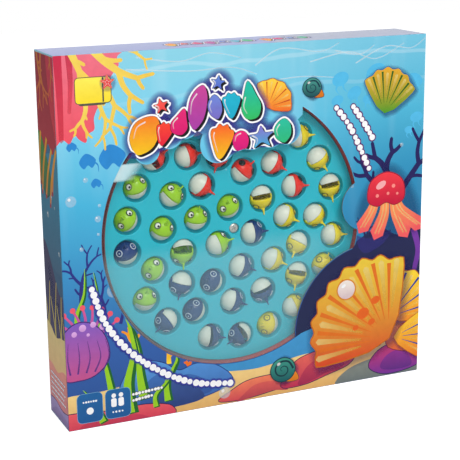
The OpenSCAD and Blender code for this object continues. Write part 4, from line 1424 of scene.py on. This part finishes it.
def printLeft(name, body, low, high):
    # the end flap, and the narrow folds of the carton beside it
    flap = Panel(name, body, upright((-184.6, 0, 0), -90), low, high, ink="flapInk")
    flap.blob([(-40, -10), (-40, 352), (40, 352), (40, -10)], rgb(26, 112, 148), rgb(26, 36, 76), steps=1)
    flap.blob([(-40, 236), (-40, 170), (40, 150), (40, 250)], rgb(34, 128, 158), rgb(36, 86, 118))
    flap.blob([(-40, 350), (40, 350), (40, 272), (24, 262), (14, 254), (2, 262), (-8, 250), (-20, 258),
               (-40, 246)], rgb(140, 18, 44), rgb(168, 30, 48))
    flap.blob([(6, 352), (30, 352), (30, 272), (20, 280), (12, 300)], rgb(186, 40, 70), rgb(196, 44, 58))
    flap.corals([((-6, 350), -100, 30, 5), ((18, 346), -80, 22, 3.4), ((-22, 340), -70, 26, 4.4)],
                rgb(190, 120, 40), rgb(200, 84, 44))
    flap.blob([(-40, 262), (-22, 268), (-6, 250), (8, 226), (-8, 212), (-24, 222), (-40, 214)],
              rgb(60, 130, 40), rgb(20, 84, 60), rgb(10, 48, 40), 0.8)
    for foot, top in (((-22, 214), (-2, 266)), ((-10, 212), (12, 258)), ((2, 206), (20, 250)),
                      ((-26, 222), (-20, 270)), ((10, 218), (26, 260))):
        flap.stem([top, ((foot[0] + top[0]) / 2 - 3, (foot[1] + top[1]) / 2), foot], 4.6, 3.6,
                  rgb(216, 156, 34), rgb(206, 118, 30))
        flap.round(foot, 2.2, rgb(150, 24, 44))
    flap.blob([(-40, 152), (-30, 168), (-18, 166), (0, 146), (16, 128), (40, 116), (40, 40), (-40, 40)],
              rgb(34, 34, 76), rgb(48, 40, 84))
    flap.blob([(-16, 150), (0, 132), (18, 110), (10, 96), (-8, 118)], rgb(56, 60, 108, 0.5))
    for x, height, lean in ((-24, 70, 4), (-16, 88, -3), (-6, 74, 6), (4, 92, -4), (12, 70, 5), (20, 82, -2),
                            (26, 64, 3)):
        flap.stem([(x, 44), (x + lean, 44 + height * 0.5), (x - lean, 44 + height)], 3.4, 1.4,
                  rgb(190, 178, 96), rgb(200, 180, 74))
    flap.blob([(-40, -6), (-40, 84), (-20, 90), (0, 82), (20, 86), (40, 78), (40, -6)],
              rgb(224, 206, 140, 0.95), rgb(230, 158, 124))
    flap.blob([(-40, -6), (-40, 46), (-20, 52), (0, 48), (20, 54), (40, 46), (40, -6)], rgb(226, 146, 130),
              rgb(196, 112, 140))
    for k in range(5):
        flap.beads([(-22, 42 - 5 * k), (0, 41.5 - 5 * k), (20 - 4 * (k % 2), 41 - 5 * k)], 14, 1.15, 0.9,
                   rgb(96, 84, 120))
    flap.rocks([([(-40, -4), (-40, 12), (-14, 17), (12, 13), (40, 16), (40, -4)], rgb(160, 144, 196),
                 rgb(140, 120, 176))])
    flap.bubbles([(6, 214, 2), (-8, 196, 3), (14, 206, 1.6), (22, 166, 2.4)])
    flap.finish()


def printTop():
    top = Panel("topPrint", "box", Matrix.Translation((0, 0, 341.6)), (-184.4, -28.4), (184.4, 28.4))
    # a pale lilac ground, made pale by painted sheen, and a paler slanted patch at the right as a painted
    # reflection
    top.blob([(-190, -33), (-190, 33), (190, 33), (190, -33)], rgb(176, 184, 222), rgb(160, 168, 216),
             steps=1)
    top.blob([(20, -33), (60, 33), (190, 33), (190, -33)], rgb(204, 210, 228, 0.8), rgb(196, 202, 226, 0.8),
             steps=1)
    # the title again, as one row: which bead, its height and its place across
    row = [(0, 19, 0), (1, 12, 2), (3, 14, 1), (4, 19, -1), (5, 13, 2), (7, 14, 0), (8, 18, 3), (9, 19, -2),
           (10, 12, 1), (11, 14, 2), (12, 13, 0)]
    top.title([((-66 + 12.6 * k + (6 if k > 6 else 0), drop), 10, tall, -8, *titleBeads[bead][4:]) for k,
               (bead, tall, drop) in enumerate(row)], 3.0, 0.55)
    top.finish()


def printRight():
    h = hues
    side = Panel("sidePrint", "box", upright((184.6, 0, 0), 90), (-28.2, 0.7), (28.2, 341.0))
    side.corals([((-30, 300), -20, 22, 5), ((-14, 346), -80, 30, 6), ((14, 346), -100, 24, 5)], h["straw"],
                h["strawTip"])
    side.corals([((-30, 214), 40, 22, 5)], h["navy"], h["navy"])
    side.blob([(-40, 150), (-20, 156), (0, 140), (18, 148), (40, 128), (40, 30), (-40, 30)], h["navyRock"],
              h["navyDeep"])
    side.scallop((4, 86), 34, 90, 110, 6, rgb(255, 214, 60), rgb(238, 104, 40), rgb(220, 110, 40),
                 rgb(190, 100, 20))
    side.blob([(-40, -6), (-40, 40), (0, 46), (40, 38), (40, -6)], h["sand"], h["sandDeep"])
    side.rocks([([(-34, 6), (-24, 34), (-4, 42), (14, 30), (20, 10), (-8, 2)], h["coralRock"],
                 h["coralRockDeep"])])
    side.weeds([((14, 8), 96, 6, 8), ((22, 6), 70, -8, 7), ((4, 8), 52, -12, 6)])
    side.star((2, 236), 13, 14, h["starTop"], h["starFoot"], h["starEdge"])
    side.bubbles([(-8, 196, 4), (8, 210, 2.4), (-2, 182, 1.8), (14, 270, 3)])
    side.finish()


def printBack():
    h = hues
    back = Panel("backPrint", "box", upright((0, 28.6, 0), 180), (-184.2, 0.7), (184.2, 341.0))
    for line in ([(-150, 330), (-90, 322), (-40, 334)], [(-30, 326), (40, 334), (90, 322)],
                 [(70, 334), (120, 326), (176, 334)]):
        back.stem(line, 0.9, 0.5, rgb(230, 246, 252, 0.4), rgb(230, 246, 252, 0.25))
    back.blob([(-196, -6), (-196, 42), (-110, 52), (-30, 44), (60, 54), (196, 40), (196, -6)], h["sand"],
              h["sandDeep"])
    back.title([((x * 0.95 + 48, z - 4), *rest) for (x, z), *rest in titleBeads])
    # a picture of the game: the red base, the disc and its fish
    back.box((-150, 76), 132, 132, 14, rgb(214, 44, 40), rgb(186, 30, 34), rgb(120, 16, 24), 0.8)
    back.round((-84, 142), 56, rgb(60, 200, 214), bottom=rgb(30, 160, 186))
    tones = {"g": rgb(150, 204, 40), "b": rgb(32, 50, 124), "r": rgb(232, 60, 40), "y": rgb(238, 214, 40)}
    spots = around((-84, 142), 0.42, [(r * math.cos(math.radians(a)), r * math.sin(math.radians(a))) for r,
                                      a in sockets])
    back.rounds([(spot, 5.3) for spot in spots], rgb(12, 90, 110))
    for kind, tone in tones.items():
        back.rounds([(spot, 4.6) for spot, pose in zip(spots, fishPoses) if pose[3] == kind], tone)
    # bare panels where the back carries its words
    for x, y, wide, tall in ((6, 150, 160, 70), (6, 76, 76, 62), (90, 76, 76, 62)):
        back.box((x, y), wide, tall, 6, rgb(238, 248, 252), rgb(214, 236, 246), h["badge"], 0.8)
        for k in range(int(tall / 9) - 1):
            level = y + tall - 10 - 9 * k
            back.beads([(x + 10, level), (x + wide * 0.5, level), (x + wide - 12 - 9 * (k % 3), level)],
                       int(wide / 4.4), 1.4, 1.1, rgb(60, 96, 150))
    back.corals([((150, 350), -110, 40, 12)], h["straw"], h["strawTip"], 3)
    back.corals([((-160, 20), 80, 26, 7)], h["pink"], h["pinkDeep"], 3)
    back.weeds([((-176, 6), 90, 8, 9), ((168, 8), 110, -10, 11), ((152, 6), 70, -18, 8)])
    back.rocks([
        ([(-130, 4), (-120, 28), (-92, 38), (-62, 26), (-52, 4)], h["blueRock"], h["blueRockDeep"]),
        ([(60, 4), (74, 30), (100, 36), (134, 24), (142, 4)], h["coralRock"], h["coralRockDeep"]),
    ])
    back.star((20, 24), 15, 10, h["starTop"], h["starFoot"], h["starEdge"])
    back.finish()


printFront()
printLeft("flapPrint", "flap", (-27.3, 2.0), (27.3, 340.0))
printLeft("foldPrint", "box", (27.7, 0.5), (28.5, 341.3))
printLeft("rearFoldPrint", "box", (-28.5, 0.5), (-27.7, 341.3))
printTop()
printRight()
printBack()
print("print is on the card")
